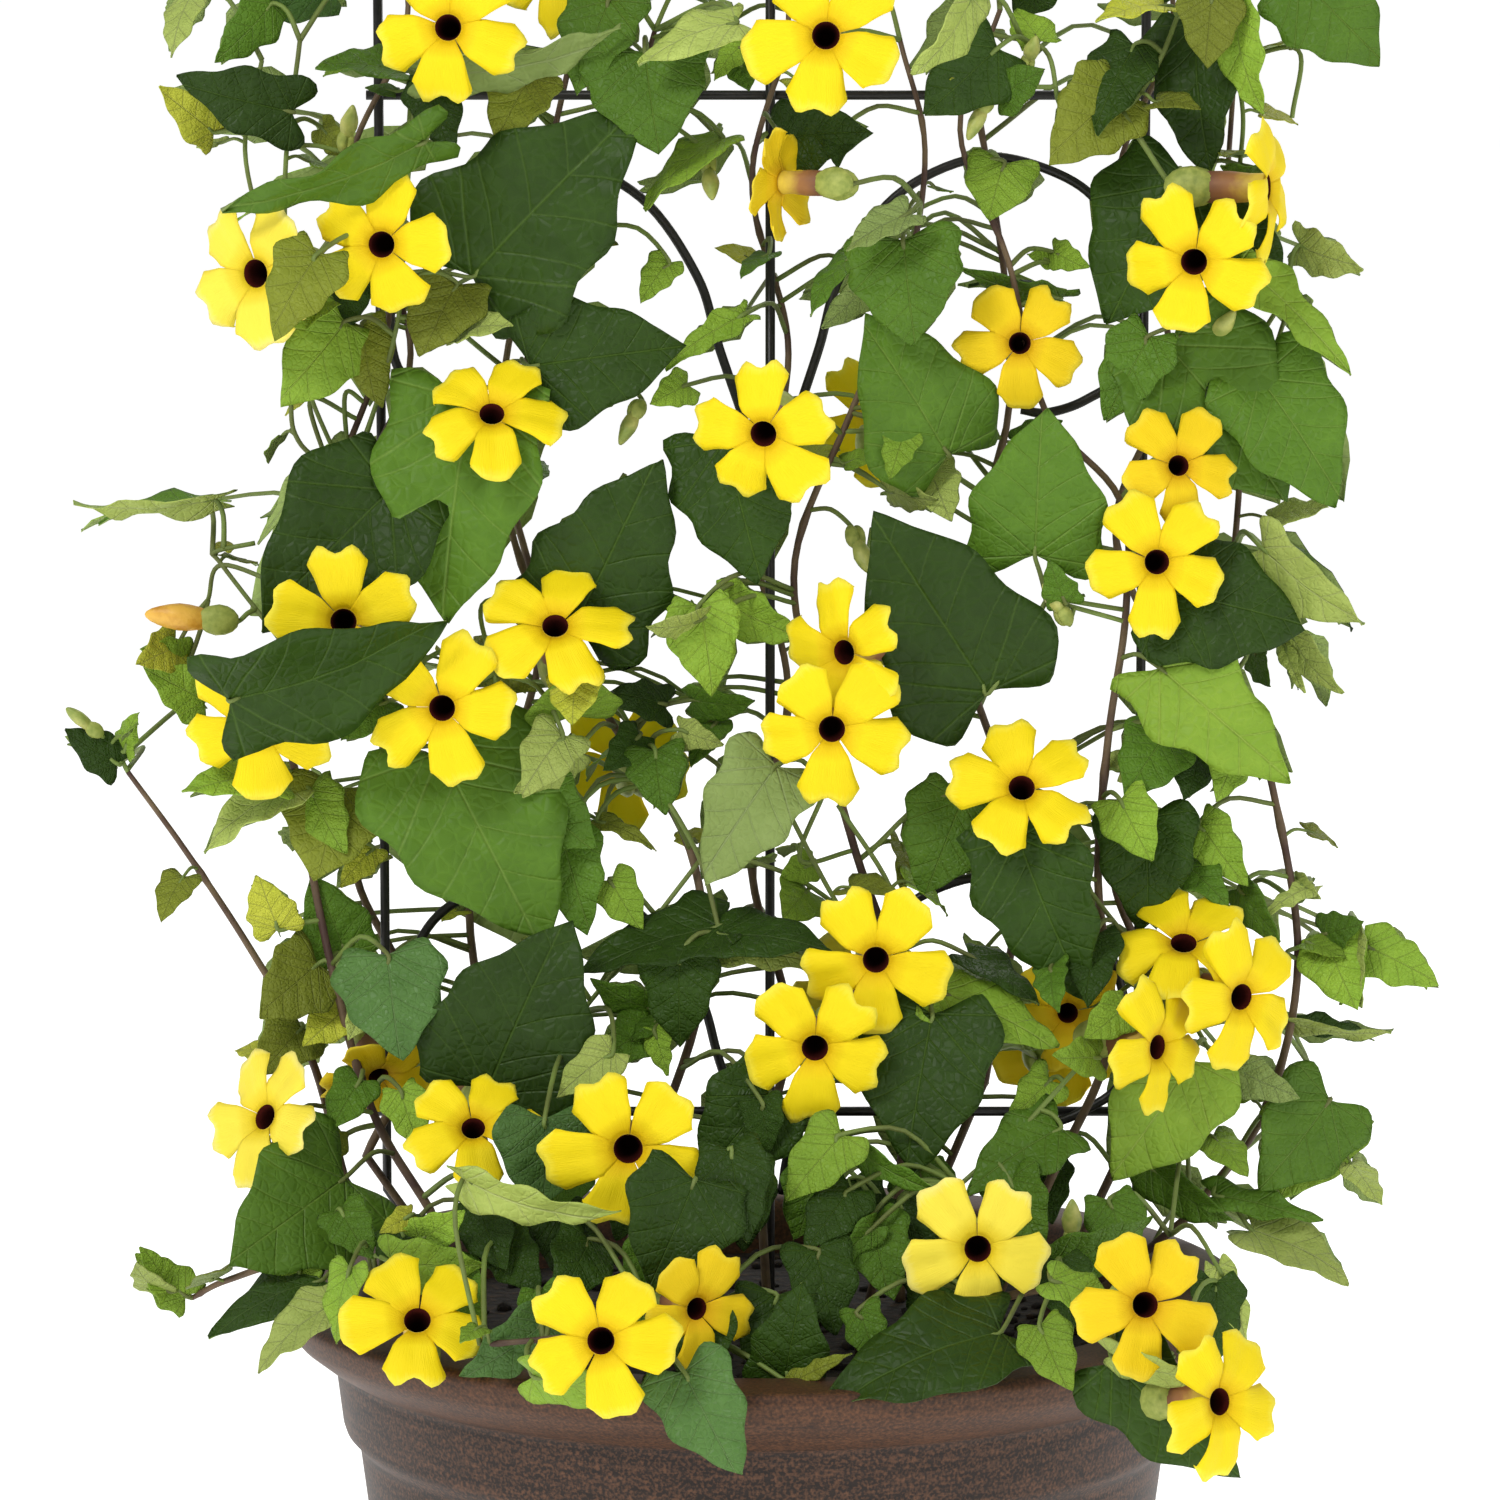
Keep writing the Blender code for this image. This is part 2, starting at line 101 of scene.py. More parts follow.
def linear(hex_colour):
    """An sRGB hex colour as linear red, green, blue and alpha."""
    channels = [int(hex_colour[place : place + 2], 16) / 255 for place in (1, 3, 5)]
    return (*[c / 12.92 if c <= 0.04045 else ((c + 0.055) / 1.055) ** 2.4 for c in channels], 1)


def fill_inputs(owner, node, inputs):
    """Fills a node's inputs: each takes a value, a hex colour, a socket, or a node for its first output."""
    for key, source in inputs.items():
        if isinstance(source, bpy.types.Node):
            source = source.outputs[0]
        if isinstance(source, bpy.types.NodeSocket):
            owner.node_tree.links.new(source, node.inputs[key])
        else:
            node.inputs[key].default_value = linear(source) if isinstance(source, str) else source


def add_node(owner, kind, inputs=None, stops=(), **settings):
    """Adds one node to a material or world, with its settings and links, and a ramp's colour stops."""
    node = owner.node_tree.nodes.new(kind)
    for name, value in settings.items():
        setattr(node, name, value)
    fill_inputs(owner, node, inputs or {})
    if stops:
        marks = node.color_ramp.elements
        marks.remove(marks[1])
        marks[0].position, marks[0].color = stops[0][0], linear(stops[0][1])
        for position, colour in stops[1:]:
            marks.new(position).color = linear(colour)
    return node


def new_finish(name, **values):
    """A material with its Principled shader's own values set. Returns both."""
    material = bpy.data.materials.new(name)
    material.use_nodes = True
    shader = material.node_tree.nodes["Principled BSDF"]
    fill_inputs(material, shader, {key.replace("_", " "): value for key, value in values.items()})
    return material, shader


def per_metre(size_mm):
    """The scale of a noise whose grains are so many millimetres across, on coordinates in metres."""
    return 1000 / size_mm


def blotched_finish(name, roughness, stops, size_mm, detail=3, bump_mm=None, depth_mm=0.3, strength=1):
    """A finish in soft blotches. Its bumps are the blotches themselves, unless bump_mm gives them a size."""
    material, shader = new_finish(name, Roughness=roughness)
    place = add_node(material, PLACE).outputs["Object"]
    patches = add_node(material, NOISE, {"Vector": place, "Scale": per_metre(size_mm), "Detail": detail})
    bumps = patches
    if bump_mm:
        bumps = add_node(material, NOISE, {"Vector": place, "Scale": per_metre(bump_mm), "Detail": 3})
    colour = add_node(material, RAMP, {"Fac": patches}, stops)
    relief = add_node(material, BUMP, {"Height": bumps, "Distance": depth_mm * MM, "Strength": strength})
    fill_inputs(material, shader, {"Base Color": colour, "Normal": relief})
    return material


print("middle grey as light:", linear("#808080")[:3])

# %% [markdown]
# ## The hard finishes
# The pot is moulded polypropylene with a brushed bronze look: fine copper flecks on a dark ground, gathered
# in faint strokes that run level round it. The trellis is steel wire with a black powder coat, which is
# satin and very slightly pebbled. The soil is damp peat, almost black, with brown fibres.

# %% Pot, wire and peat finishes
# The rim begins above the neck, and its flecks are painted paler there: a painted highlight on the whole rim.
NECK_HEIGHT = 229 * MM
RIM_HIGHLIGHT_SHARE = 0.7
# The real flecks are finer than a pixel of the render, so they are drawn about 1 mm wide.
FLECK_MM = 1.0
# A stroke is about 30 mm long, and the squeeze makes it 2 mm high.
STROKE_MM, STROKE_SQUEEZE = 30, 14


def bronze_polypropylene():
    """Moulded polypropylene with copper flecks, which glints softly along the level strokes, and a painted
    highlight on its rim.
    """
    values = {"Roughness": 0.5, "Metallic": 0.15, "Specular_IOR_Level": 0.3}
    material, shader = new_finish("bronze_polypropylene", **values)
    place = add_node(material, PLACE).outputs["Object"]
    split = add_node(material, SPLIT, {0: place})
    drawn = add_node(material, "ShaderNodeVectorMath", {
        0: place, 1: (1, 1, STROKE_SQUEEZE),
    }, operation="MULTIPLY")
    strokes = add_node(material, NOISE, {
        "Vector": drawn, "Scale": per_metre(STROKE_MM), "Detail": 5, "Roughness": 0.6,
    })
    flecks = add_node(material, NOISE, {"Vector": place, "Scale": per_metre(FLECK_MM), "Detail": 3})
    browns = ((0.3, "#1F1815"), (0.5, "#29201C"), (0.7, "#332823"))
    ground = add_node(material, RAMP, {"Fac": strokes}, browns)
    speckle = add_node(material, MATH, {0: strokes, 1: 0.35, 2: flecks}, operation="MULTIPLY_ADD")
    copper = add_node(material, RAMP, {"Fac": speckle}, ((0.6, "#000000"), (0.88, "#FFFFFF")))
    share = add_node(material, MATH, {0: copper, 1: 0.55}, operation="MULTIPLY")
    body = add_node(material, MIX, {0: share, 6: ground, 7: "#80583F"}, data_type="RGBA").outputs[2]
    # Painted highlight: paler copper flecks stand for the light on the flared rim.
    rim_highlight = add_node(material, RAMP, {"Fac": speckle}, ((0.45, "#3A2A22"), (0.95, "#70492F")))
    on_rim = add_node(material, RANGE, {
        0: split.outputs[2], 1: NECK_HEIGHT - 1 * MM, 2: NECK_HEIGHT + 2 * MM, 3: 0, 4: RIM_HIGHLIGHT_SHARE,
    })
    colour = add_node(material, MIX, {0: on_rim, 6: body, 7: rim_highlight}, data_type="RGBA").outputs[2]
    relief = add_node(material, BUMP, {"Height": flecks, "Distance": 0.15 * MM, "Strength": 0.5})
    fill_inputs(material, shader, {"Base Color": colour, "Normal": relief})
    return material


def powder_coated_steel():
    """Steel wire under black powder coat: satin, with a faint orange-peel, drawn a little coarse to show."""
    stops = ((0.35, "#0E0D0C"), (0.7, "#211D1A"))
    return blotched_finish("powder_coated_steel", 0.38, stops, size_mm=1.2, depth_mm=0.08, strength=0.6)


def damp_peat():
    """Peat mix with bark fines: rough, nearly black, with brown and grey crumbs."""
    stops = ((0.35, "#100B07"), (0.55, "#22170E"), (0.75, "#48341F"))
    return blotched_finish("damp_peat", 0.92, stops, size_mm=4, detail=8, depth_mm=2.0)


POT_FINISH = bronze_polypropylene()
WIRE_FINISH = powder_coated_steel()
PEAT = damp_peat()
print("hard finishes:", POT_FINISH.name, WIRE_FINISH.name, PEAT.name)

# %% [markdown]
# ## The living finishes
# A leaf is matte to satin, its veins are paler and sunk, and the blade swells between them. The pattern has
# to follow each blade, so it reads the blade's own UV map: U runs across from the midrib and V from the
# base to the tip, both as shares of the blade's length. A per-leaf number called tint makes no two leaves
# the same.

# %% Leaf finish
SIDE_VEIN_SPACING = 0.23
SIDE_VEIN_SLANT = 0.95
SIDE_VEIN_BEND = 0.7
VEIN_HALF_WIDTH = 0.010
PALM_VEINS = ((0.66, 0.75), (-0.12, 0.99))
RIB_PEAK, PALM_PEAK, SIDE_PEAK = 1, 0.8, 0.55
SWELL = 1.6
# The real net of small veins is under 1 mm and would not show, so a leaf gets only 17 cells to its length.
CELLS_PER_LENGTH = 17


def leaf_finish(name, shade, ground, vein, gloss):
    """One tone of leaf: its darker and its main colour, its vein colour and its roughness."""
    material, shader = new_finish(name, Roughness=gloss, Specular_IOR_Level=0.2)
    uv = add_node(material, UV_MAP, uv_map="blade")
    split = add_node(material, SPLIT, {0: uv})
    across = add_node(material, MATH, {0: split.outputs[0]}, operation="ABSOLUTE")
    square = add_node(material, MATH, {0: across, 1: across}, operation="MULTIPLY")
    bent = add_node(material, MATH, {
        0: square, 1: SIDE_VEIN_BEND, 2: split.outputs[1],
    }, operation="MULTIPLY_ADD")
    slanted = add_node(material, MATH, {0: across, 1: -SIDE_VEIN_SLANT, 2: bent}, operation="MULTIPLY_ADD")
    raised = add_node(material, MATH, {0: slanted, 1: 1}, operation="ADD")
    phase = add_node(material, MATH, {0: raised, 1: SIDE_VEIN_SPACING / 2}, operation="PINGPONG")
    lines = [(across, RIB_PEAK), (phase, SIDE_PEAK)]
    for level, steep in PALM_VEINS:
        reach = add_node(material, MATH, {0: across, 1: level}, operation="MULTIPLY")
        palm = add_node(material, MATH, {0: split.outputs[1], 1: -steep, 2: reach}, operation="MULTIPLY_ADD")
        lines.append((add_node(material, MATH, {0: palm}, operation="ABSOLUTE"), PALM_PEAK))
    veins = 0
    for distance, peak in lines:
        line = add_node(material, RANGE, {0: distance, 1: 0, 2: VEIN_HALF_WIDTH, 3: peak, 4: 0})
        veins = add_node(material, MATH, {0: veins, 1: line}, operation="MAXIMUM")
    cells = add_node(material, "ShaderNodeTexVoronoi", {
        "Vector": uv, "Scale": CELLS_PER_LENGTH,
    }, feature="DISTANCE_TO_EDGE")
    quilt = add_node(material, RANGE, {0: cells.outputs["Distance"], 1: 0, 2: 0.22, 3: 0, 4: 1})
    place = add_node(material, PLACE).outputs["Object"]
    patches = add_node(material, NOISE, {"Vector": place, "Scale": per_metre(11), "Detail": 4})
    colour = add_node(material, MIX, {0: patches, 6: shade, 7: ground}, data_type="RGBA").outputs[2]
    for mask, strength, paint in ((quilt, 0.25, shade), (veins, 0.32, vein)):
        share = add_node(material, MATH, {0: mask, 1: strength}, operation="MULTIPLY")
        colour = add_node(material, MIX, {0: share, 6: colour, 7: paint}, data_type="RGBA").outputs[2]
    tint = add_node(material, "ShaderNodeAttribute", attribute_name="tint").outputs["Fac"]
    tinted = add_node(material, "ShaderNodeHueSaturation", {"Color": colour, "Value": tint})
    sunk = add_node(material, MATH, {0: veins, 1: -1}, operation="MULTIPLY")
    steepness = SWELL / SIDE_VEIN_SPACING
    swell = add_node(material, MATH, {0: phase, 1: steepness, 2: sunk}, operation="MULTIPLY_ADD")
    height = add_node(material, MATH, {0: quilt, 1: 0.45, 2: swell}, operation="MULTIPLY_ADD")
    relief = add_node(material, BUMP, {"Height": height, "Distance": 0.55 * MM, "Strength": 0.85})
    fill_inputs(material, shader, {"Base Color": tinted, "Normal": relief})
    return material


LEAF_TONES = {
    "dark": leaf_finish("leaf_dark", "#22380A", "#385515", "#6A8A3A", 0.46),
    "mid": leaf_finish("leaf_mid", "#46681A", "#628828", "#9AB65A", 0.46),
    "bright": leaf_finish("leaf_bright", "#74992C", "#98B83E", "#C4D870", 0.50),
    "lime": leaf_finish("leaf_lime", "#AEB832", "#D2D24C", "#E6E68C", 0.54),
    "olive": leaf_finish("leaf_olive", "#6A7420", "#8A9432", "#B2BA60", 0.50),
    "light": leaf_finish("leaf_light", "#94A84C", "#B8C66C", "#DADEA4", 0.54),
    "blue": leaf_finish("leaf_blue", "#45682E", "#628846", "#9AB67A", 0.40),
    "under": leaf_finish("leaf_underside", "#7E944A", "#9EB26A", "#C2D09A", 0.64),
}
TONE_ORDER = list(LEAF_TONES)
# The wall that gives a blade its thickness puts the underside finish on the back of every tone.
LEAF_FINISHES = list(LEAF_TONES.values()) + [LEAF_TONES["under"]] * len(LEAF_TONES)
print("leaf tones:", ", ".join(TONE_ORDER))

# %% [markdown]
# Petals are soft and matte, with a faint fan of streaks from the eye. They are deeper gold next to the eye
# and paler at their ends. The eye is a funnel of almost black maroon velvet. The tube behind the face goes
# from pale yellow to brown, and two puffed green bracts hold it.

# %% Flower finishes
STREAK_STRETCH = (14, 1.5, 1)


def petal_finish(name, heart, middle, end):
    """One tone of petal: its colour next to the eye, in the middle and at its end."""
    material, shader = new_finish(name, Roughness=0.62, Specular_IOR_Level=0.25)
    uv = add_node(material, UV_MAP, uv_map="blade")
    split = add_node(material, SPLIT, {0: uv})
    fan = add_node(material, "ShaderNodeMapping", {"Vector": uv, "Scale": STREAK_STRETCH})
    streaks = add_node(material, NOISE, {"Vector": fan, "Scale": 2.0, "Detail": 4})
    start = add_node(material, MATH, {0: split.outputs[1], 1: 0.12}, operation="SUBTRACT")
    out = add_node(material, MATH, {0: streaks, 1: 0.24, 2: start}, operation="MULTIPLY_ADD")
    colour = add_node(material, RAMP, {"Fac": out}, ((0.02, heart), (0.3, middle), (0.8, middle), (1.0, end)))
    relief = add_node(material, BUMP, {"Height": streaks, "Distance": 0.35 * MM, "Strength": 0.7})
    fill_inputs(material, shader, {"Base Color": colour, "Normal": relief})
    return material


def faded_finish(name, roughness, gloss, stops, size_mm, blur):
    """A finish whose colour changes along a funnel, with the border blurred by blotches."""
    material, shader = new_finish(name, Roughness=roughness, Specular_IOR_Level=gloss)
    split = add_node(material, SPLIT, {0: add_node(material, UV_MAP, uv_map="blade")})
    place = add_node(material, PLACE).outputs["Object"]
    patches = add_node(material, NOISE, {"Vector": place, "Scale": per_metre(size_mm), "Detail": 3})
    along = add_node(material, MATH, {0: patches, 1: blur, 2: split.outputs[1]}, operation="MULTIPLY_ADD")
    fill_inputs(material, shader, {"Base Color": add_node(material, RAMP, {"Fac": along}, stops)})
    return material


def maroon_velvet():
    """The throat: soft near-black hairs with a maroon edge, which swallow the light."""
    stops = ((0.1, "#4C1712"), (0.3, "#34100C"), (0.7, "#1E0A08"))
    return faded_finish("maroon_velvet", 0.95, 0.05, stops, size_mm=0.8, blur=0.3)


def tube_skin():
    """The flower's tube: thin and matte, pale at the face and purple-brown towards the bracts."""
    stops = ((0.2, "#E3C84A"), (0.5, "#9C6A3A"), (0.9, "#5A3430"))
    return faded_finish("tube_skin", 0.6, 0.5, stops, size_mm=3, blur=0.25)


def bract_skin():
    """The bracts: downy pale green, blotched a little yellow."""
    return blotched_finish("bract_skin", 0.6, ((0.3, "#7E8E38"), (0.7, "#AEB65A")), size_mm=2.5, detail=5)


PETAL_TONES = {
    "yellow": petal_finish("petal_yellow", "#EDC400", "#FBE00A", "#FFEE48"),
    "golden": petal_finish("petal_golden", "#E4B408", "#F3D010", "#F9DE38"),
    "pale": petal_finish("petal_pale", "#F2D420", "#FDE848", "#FFF284"),
}
THROAT = maroon_velvet()
TUBE_SKIN = tube_skin()
BRACT_SKIN = bract_skin()
print("petal tones:", ", ".join(PETAL_TONES))

# %% [markdown]
# A closed bud has a waxy skin in patches of two colours. The stems are green while they are young, and
# brown bark grows over them from the soil up.

# %% Bud and stem finishes
def bud_skin(name, foot, top):
    """A closed bud: waxy, in patches of two colours."""
    return blotched_finish(name, 0.45, ((0.35, foot), (0.65, top)), size_mm=5, bump_mm=1.5, depth_mm=0.25)


def vine_bark(name, young, old, size_mm):
    """A stem's skin: matte and finely wrinkled, blotched between a younger and an older colour."""
    return blotched_finish(name, 0.62, ((0.38, young), (0.64, old)), size_mm, bump_mm=1.4)


BUD_SKIN = bud_skin("ripe_bud_skin", "#C98A1E", "#EDB84A")
GREEN_BUD_SKIN = bud_skin("green_bud_skin", "#8A9A44", "#C0C06A")
OLD_BARK = vine_bark("old_vine_bark", "#6E5A40", "#472E26", 14)
YOUNG_BARK = vine_bark("young_vine_bark", "#748A3E", "#626A32", 22)
print("bud and stem finishes:", BUD_SKIN.name, GREEN_BUD_SKIN.name, OLD_BARK.name, YOUNG_BARK.name)

# %% [markdown]
# ## Finishing a piece
# A piece is a mesh whose place is in its own points, so that its object stays at the origin. It rides on
# the object's one body and, where it takes the place of CAD parts, says which.

# %% Helpers for pieces
def finish_piece(name, mesh, finishes, nodes=(), wall_mm=0, back_offset=0):
    """Puts a mesh in the scene as a piece of the model."""
    piece = bpy.data.objects.new(name, mesh)
    for finish in finishes:
        mesh.materials.append(finish)
    mesh.shade_smooth()
    bpy.context.collection.objects.link(piece)
    if wall_mm:
        wall = piece.modifiers.new("thickness", "SOLIDIFY")
        wall.thickness = wall_mm * MM
        wall.offset = -1
        wall.material_offset = back_offset
    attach(piece, "root")
    if nodes:
        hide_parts(*nodes)
    return piece


def to_mesh(name, shape):
    """Ends a bmesh and gives its mesh."""
    mesh = bpy.data.meshes.new(name)
    shape.to_mesh(mesh)
    shape.free()
    return mesh


def smooth_path(points, steps):
    """A smooth curve through the points, with so many steps between each two."""
    ends = [points[0] * 2 - points[1], *points, points[-1] * 2 - points[-2]]
    path = []
    for before, start, end, after in zip(ends, ends[1:], ends[2:], ends[3:]):
        for step in range(steps):
            t = step / steps
            bend = before * 2 - start * 5 + end * 4 - after
            twist = start * 3 - before - end * 3 + after
            path.append((start * 2 + (end - before) * t + bend * t**2 + twist * t**3) / 2)
    path.append(points[-1])
    return path


def tubes(name, runs, sides_quarter=2):
    """A mesh of round tubes; a run is its path and its radius in metres at each point."""
    curve = bpy.data.curves.new(name, "CURVE")
    curve.dimensions = "3D"
    curve.bevel_depth = 1
    curve.bevel_resolution = sides_quarter
    curve.use_fill_caps = True
    for path, radii in runs:
        spline = curve.splines.new("POLY")
        spline.points.add(len(path) - 1)
        for point, place, radius in zip(spline.points, path, radii):
            point.co = (*place, 1)
            point.radius = radius
    guide = bpy.data.objects.new(name, curve)
    bpy.context.collection.objects.link(guide)
    bpy.context.view_layer.update()
    mesh = bpy.data.meshes.new_from_object(guide.evaluated_get(bpy.context.evaluated_depsgraph_get()))
    bpy.data.objects.remove(guide, do_unlink=True)
    welded = bmesh.new()
    welded.from_mesh(mesh)
    bmesh.ops.remove_doubles(welded, verts=welded.verts, dist=0.002 * MM)
    bmesh.ops.recalc_face_normals(welded, faces=welded.faces)
    welded.to_mesh(mesh)
    welded.free()
    return mesh


print("a curve through 3 points in 8 steps has", len(smooth_path([EYE, VIEW_TARGET, Vector()], 8)), "points")

# %% [markdown]
# ## The stems
# The vine has eleven free stems, and three that wind up the uprights. They are drawn as smooth curves
# through the places where the photograph shows them, swollen a little at each leaf joint, and thinner
# towards their tips. Each one takes the place of its CAD stem.

# %% Stem routes
SOIL_TOP = 232 * MM
SEAT_GAP = 0.3 * MM
STEM_RADIUS = 1.3 * MM
STEM_FOOT, STEM_TIP, JOINT_SWELL = 1.1, 0.6, 1.25
JOINT_EVERY = 12
ROOT_RISE = 7 * MM
TRELLIS_DEPTH = 15 * MM
UPRIGHTS = {"left": -117 * MM, "middle": 2.5 * MM, "right": 117 * MM}
TWINE_RADII = {"left": 9.2 * MM, "middle": 5.6 * MM, "right": 8.2 * MM}
LOWER_BAR, UPPER_BAR = 300 * MM, 616 * MM
TWINE_TURNS = 3
TWINE_FOOT, TWINE_TOP = 288 * MM, 680 * MM
TWINE_STEPS = 96

FREE_STEMS = {
    "stem_left_front": (
        (480, 1340, -30), (430, 1210, -45), (372, 1110, -38), (330, 960, -32), (300, 800, -26),
        (280, 640, -24), (335, 480, -20), (385, 340, -16), (400, 180, -12), (425, 40, -8),
    ),
    "stem_far_left": (
        (440, 1335, -5), (345, 1180, -20), (310, 1055, -24), (251, 950, -20), (185, 850, -14),
        (128, 772, -10),
    ),
    "stem_centre_left": (
        (620, 1345, -20), (640, 1180, -48), (700, 1000, -40), (690, 850, -30), (610, 720, -22),
        (535, 600, -20), (500, 450, -18), (545, 320, -14), (610, 180, -10), (655, 30, -6),
    ),
    "stem_centre_right": (
        (860, 1340, -25), (900, 1190, -50), (905, 1010, -40), (855, 850, -32), (815, 700, -26),
        (795, 560, -24), (850, 415, -20), (905, 280, -18), (925, 150, -12), (900, 40, -6),
    ),
    "stem_front_right": (
        (985, 1335, -15), (1050, 1180, -42), (1110, 1040, -40), (1098, 880, -34), (1108, 740, -30),
        (1126, 610, -30), (1120, 500, -26), (1045, 410, -22), (1008, 260, -18), (960, 130, -14),
        (1000, 10, -8),
    ),
    "stem_right": (
        (1075, 1330, 5), (1190, 1215, -10), (1265, 1110, -16), (1298, 960, -16), (1272, 785, -12),
        (1232, 640, -8), (1240, 450, -4), (1225, 260, -2), (1235, 60, 0),
    ),
    "stem_low_left": (
        (455, 1345, -55), (390, 1285, -72), (300, 1262, -66), (228, 1280, -56), (192, 1298, -50),
    ),
    "stem_low_front": (
        (690, 1375, -85), (700, 1330, -108), (640, 1330, -128), (560, 1338, -140), (480, 1345, -138),
    ),
    "stem_low_right": (
        (965, 1370, -85), (990, 1300, -108), (1060, 1290, -118), (1140, 1325, -126), (1200, 1380, -124),
    ),
    "stem_back_left": (
        (560, 1330, 45), (500, 1100, 72), (470, 880, 76), (540, 650, 66), (500, 430, 58), (540, 200, 50),
        (590, -20, 44), (640, -190, 34),
    ),
    "stem_back_right": (
        (900, 1320, 50), (985, 1080, 74), (1020, 850, 78), (960, 620, 68), (1010, 400, 58), (990, 180, 50),
        (940, -40, 44), (880, -220, 34),
    ),
}


def rooted(foot, path):
    """The path of a stem that leaves the soil upright at its foot."""
    ground = Vector((foot.x, foot.y, SOIL_TOP + SEAT_GAP))
    return [ground, ground + Vector((0, 0, ROOT_RISE)), *path]


def twined_path(x, loose):
    """A stem that winds up round an upright, passing in front of it at each crossbar."""
    pitch = (UPPER_BAR - LOWER_BAR) / TWINE_TURNS
    path = []
    for step in range(TWINE_STEPS + 1):
        height = TWINE_FOOT + (TWINE_TOP - TWINE_FOOT) * step / TWINE_STEPS
        angle = math.tau * (height - LOWER_BAR) / pitch - math.pi / 2
        path.append(Vector((x + loose * math.cos(angle), TRELLIS_DEPTH + loose * math.sin(angle), height)))
    return path


def stem_radii(path):
    """The radius at each point: tapering to the tip, and swollen at every joint."""
    radii = []
    for index in range(len(path)):
        taper = STEM_FOOT + (STEM_TIP - STEM_FOOT) * index / (len(path) - 1)
        joint = JOINT_SWELL if index % JOINT_EVERY == 0 else 1
        radii.append(STEM_RADIUS * taper * joint)
    return radii


STEPS = 8
stems = {}
for stem_name, points in FREE_STEMS.items():
    route = [sight(*point) for point in points]
    stems[stem_name] = rooted(route[0], smooth_path(route[1:], STEPS))
for side, x in UPRIGHTS.items():
    foot = Vector((x * 0.75, TRELLIS_DEPTH - 14 * MM, SOIL_TOP))
    stems[f"stem_twined_{side}"] = rooted(foot, twined_path(x, TWINE_RADII[side]))
for stem_name, path in stems.items():
    mesh = tubes(stem_name, [(path, stem_radii(path))])
    finish_piece(stem_name.replace("stem", "vine"), mesh, [OLD_BARK], [stem_name])
print("stems:", len(stems))

# %% [markdown]
# Thin green shoots lead off the stems to single leaves and buds, and one pale shoot hangs in a loop near
# the top right. Each begins on the nearest stem. Two more climb on along the trellis's arched top.

# %% Young shoots
SHOOTS = (
    ((1045, 50, -24), (1060, 105, -26), (1085, 118, -26), (1110, 118, -26), (1135, 100, -24), (1160, 60, -22),
     (1180, 10, -18)),
    ((280, 640, -24), (222, 565, -16), (215, 552, -16), (255, 543, -16)),
    ((222, 565, -16), (208, 600, -14)),
    ((690, 850, -30), (670, 805, -44), (700, 860, -46), (720, 933, -50)),
    ((855, 850, -32), (800, 860, -36), (825, 790, -40)),
    ((905, 1010, -40), (895, 900, -44), (838, 805, -44)),
    ((905, 1010, -40), (835, 900, -44), (790, 815, -40)),
    ((535, 600, -22), (482, 605, -30), (495, 674, -34)),
    ((1110, 1000, -30), (1165, 975, -34), (1224, 1067, -34), (1325, 1105, -30)),
    ((1298, 960, -16), (1290, 950, -18), (1355, 937, -18)),
    ((1098, 880, -34), (1086, 885, -38), (1165, 985, -44)),
    ((1110, 1040, -40), (1085, 1060, -60), (1020, 1130, -74), (960, 1185, -80)),
    ((1190, 1215, -10), (1185, 1130, -30), (1170, 1235, -60)),
    ((1265, 1110, -16), (1250, 1130, -24), (1218, 1185, -30)),
    ((1235, 60, 0), (1298, 50, -10), (1292, 118, -12)),
    ((1235, 60, 0), (1243, 115, -8), (1240, 165, -12)),
    ((1240, 450, -4), (1290, 298, -14), (1248, 355, -20)),
    ((310, 400, -18), (335, 485, -20)),
    ((345, 395, -18), (348, 470, -20), (335, 480, -20)),
    ((385, 375, -18), (350, 473, -20), (275, 632, -24)),
    ((412, 80, -10), (405, 200, -12)),
    ((345, 476, -20), (312, 400, -22), (292, 330, -24), (268, 250, -22), (245, 150, -20), (262, 60, -18)),
    ((340, 474, -20), (298, 440, -22), (290, 380, -24), (285, 180, -22), (300, 40, -18)),
    ((352, 478, -20), (396, 330, -30), (402, 250, -30), (415, 100, -26)),
    ((700, 850, -30), (800, 880, -30), (900, 960, -36)),
    ((560, 1060, -40), (640, 940, -40), (700, 860, -34)),
    ((1126, 610, -30), (1045, 598, -36), (1123, 621, -40)),
    ((128, 772, -10), (115, 752, -10), (70, 711, -12)),
)
ARCH_FOOT, ARCH_TOP = 700 * MM, 800 * MM
ARCH_STEPS = 60
ARCH_CLIMBS = {"left": (math.pi, math.pi * 0.42), "right": (0, math.pi * 0.55)}
CLIMB_TURNS, CLIMB_LOOSE = 4, 4.5 * MM
SHOOT_RADIUS = 0.75 * MM


def arch_path(start_angle, end_angle, turns=0, loose=0):
    """A line along the trellis's arched top between two angles on it, which may wind round the wire."""
    path = []
    for step in range(ARCH_STEPS + 1):
        angle = start_angle + (end_angle - start_angle) * step / ARCH_STEPS
        wind = math.tau * turns * step / ARCH_STEPS
        centre = Vector((UPRIGHTS["right"] * math.cos(angle), TRELLIS_DEPTH, ARCH_FOOT))
        centre.z += (ARCH_TOP - ARCH_FOOT) * math.sin(angle)
        outward = Vector((math.cos(angle), 0, math.sin(angle)))
        path.append(centre + (outward * math.cos(wind) + Vector((0, 1, 0)) * math.sin(wind)) * loose)
    return path


def nearest_on(paths, place):
    """The nearest place on any of the paths."""
    best = None
    for path in paths:
        for start, end in zip(path, path[1:]):
            along = end - start
            share = max(0, min(1, (place - start).dot(along) / along.length_squared))
            near = start + along * share
            if best is None or (near - place).length < (best - place).length:
                best = near
    return best


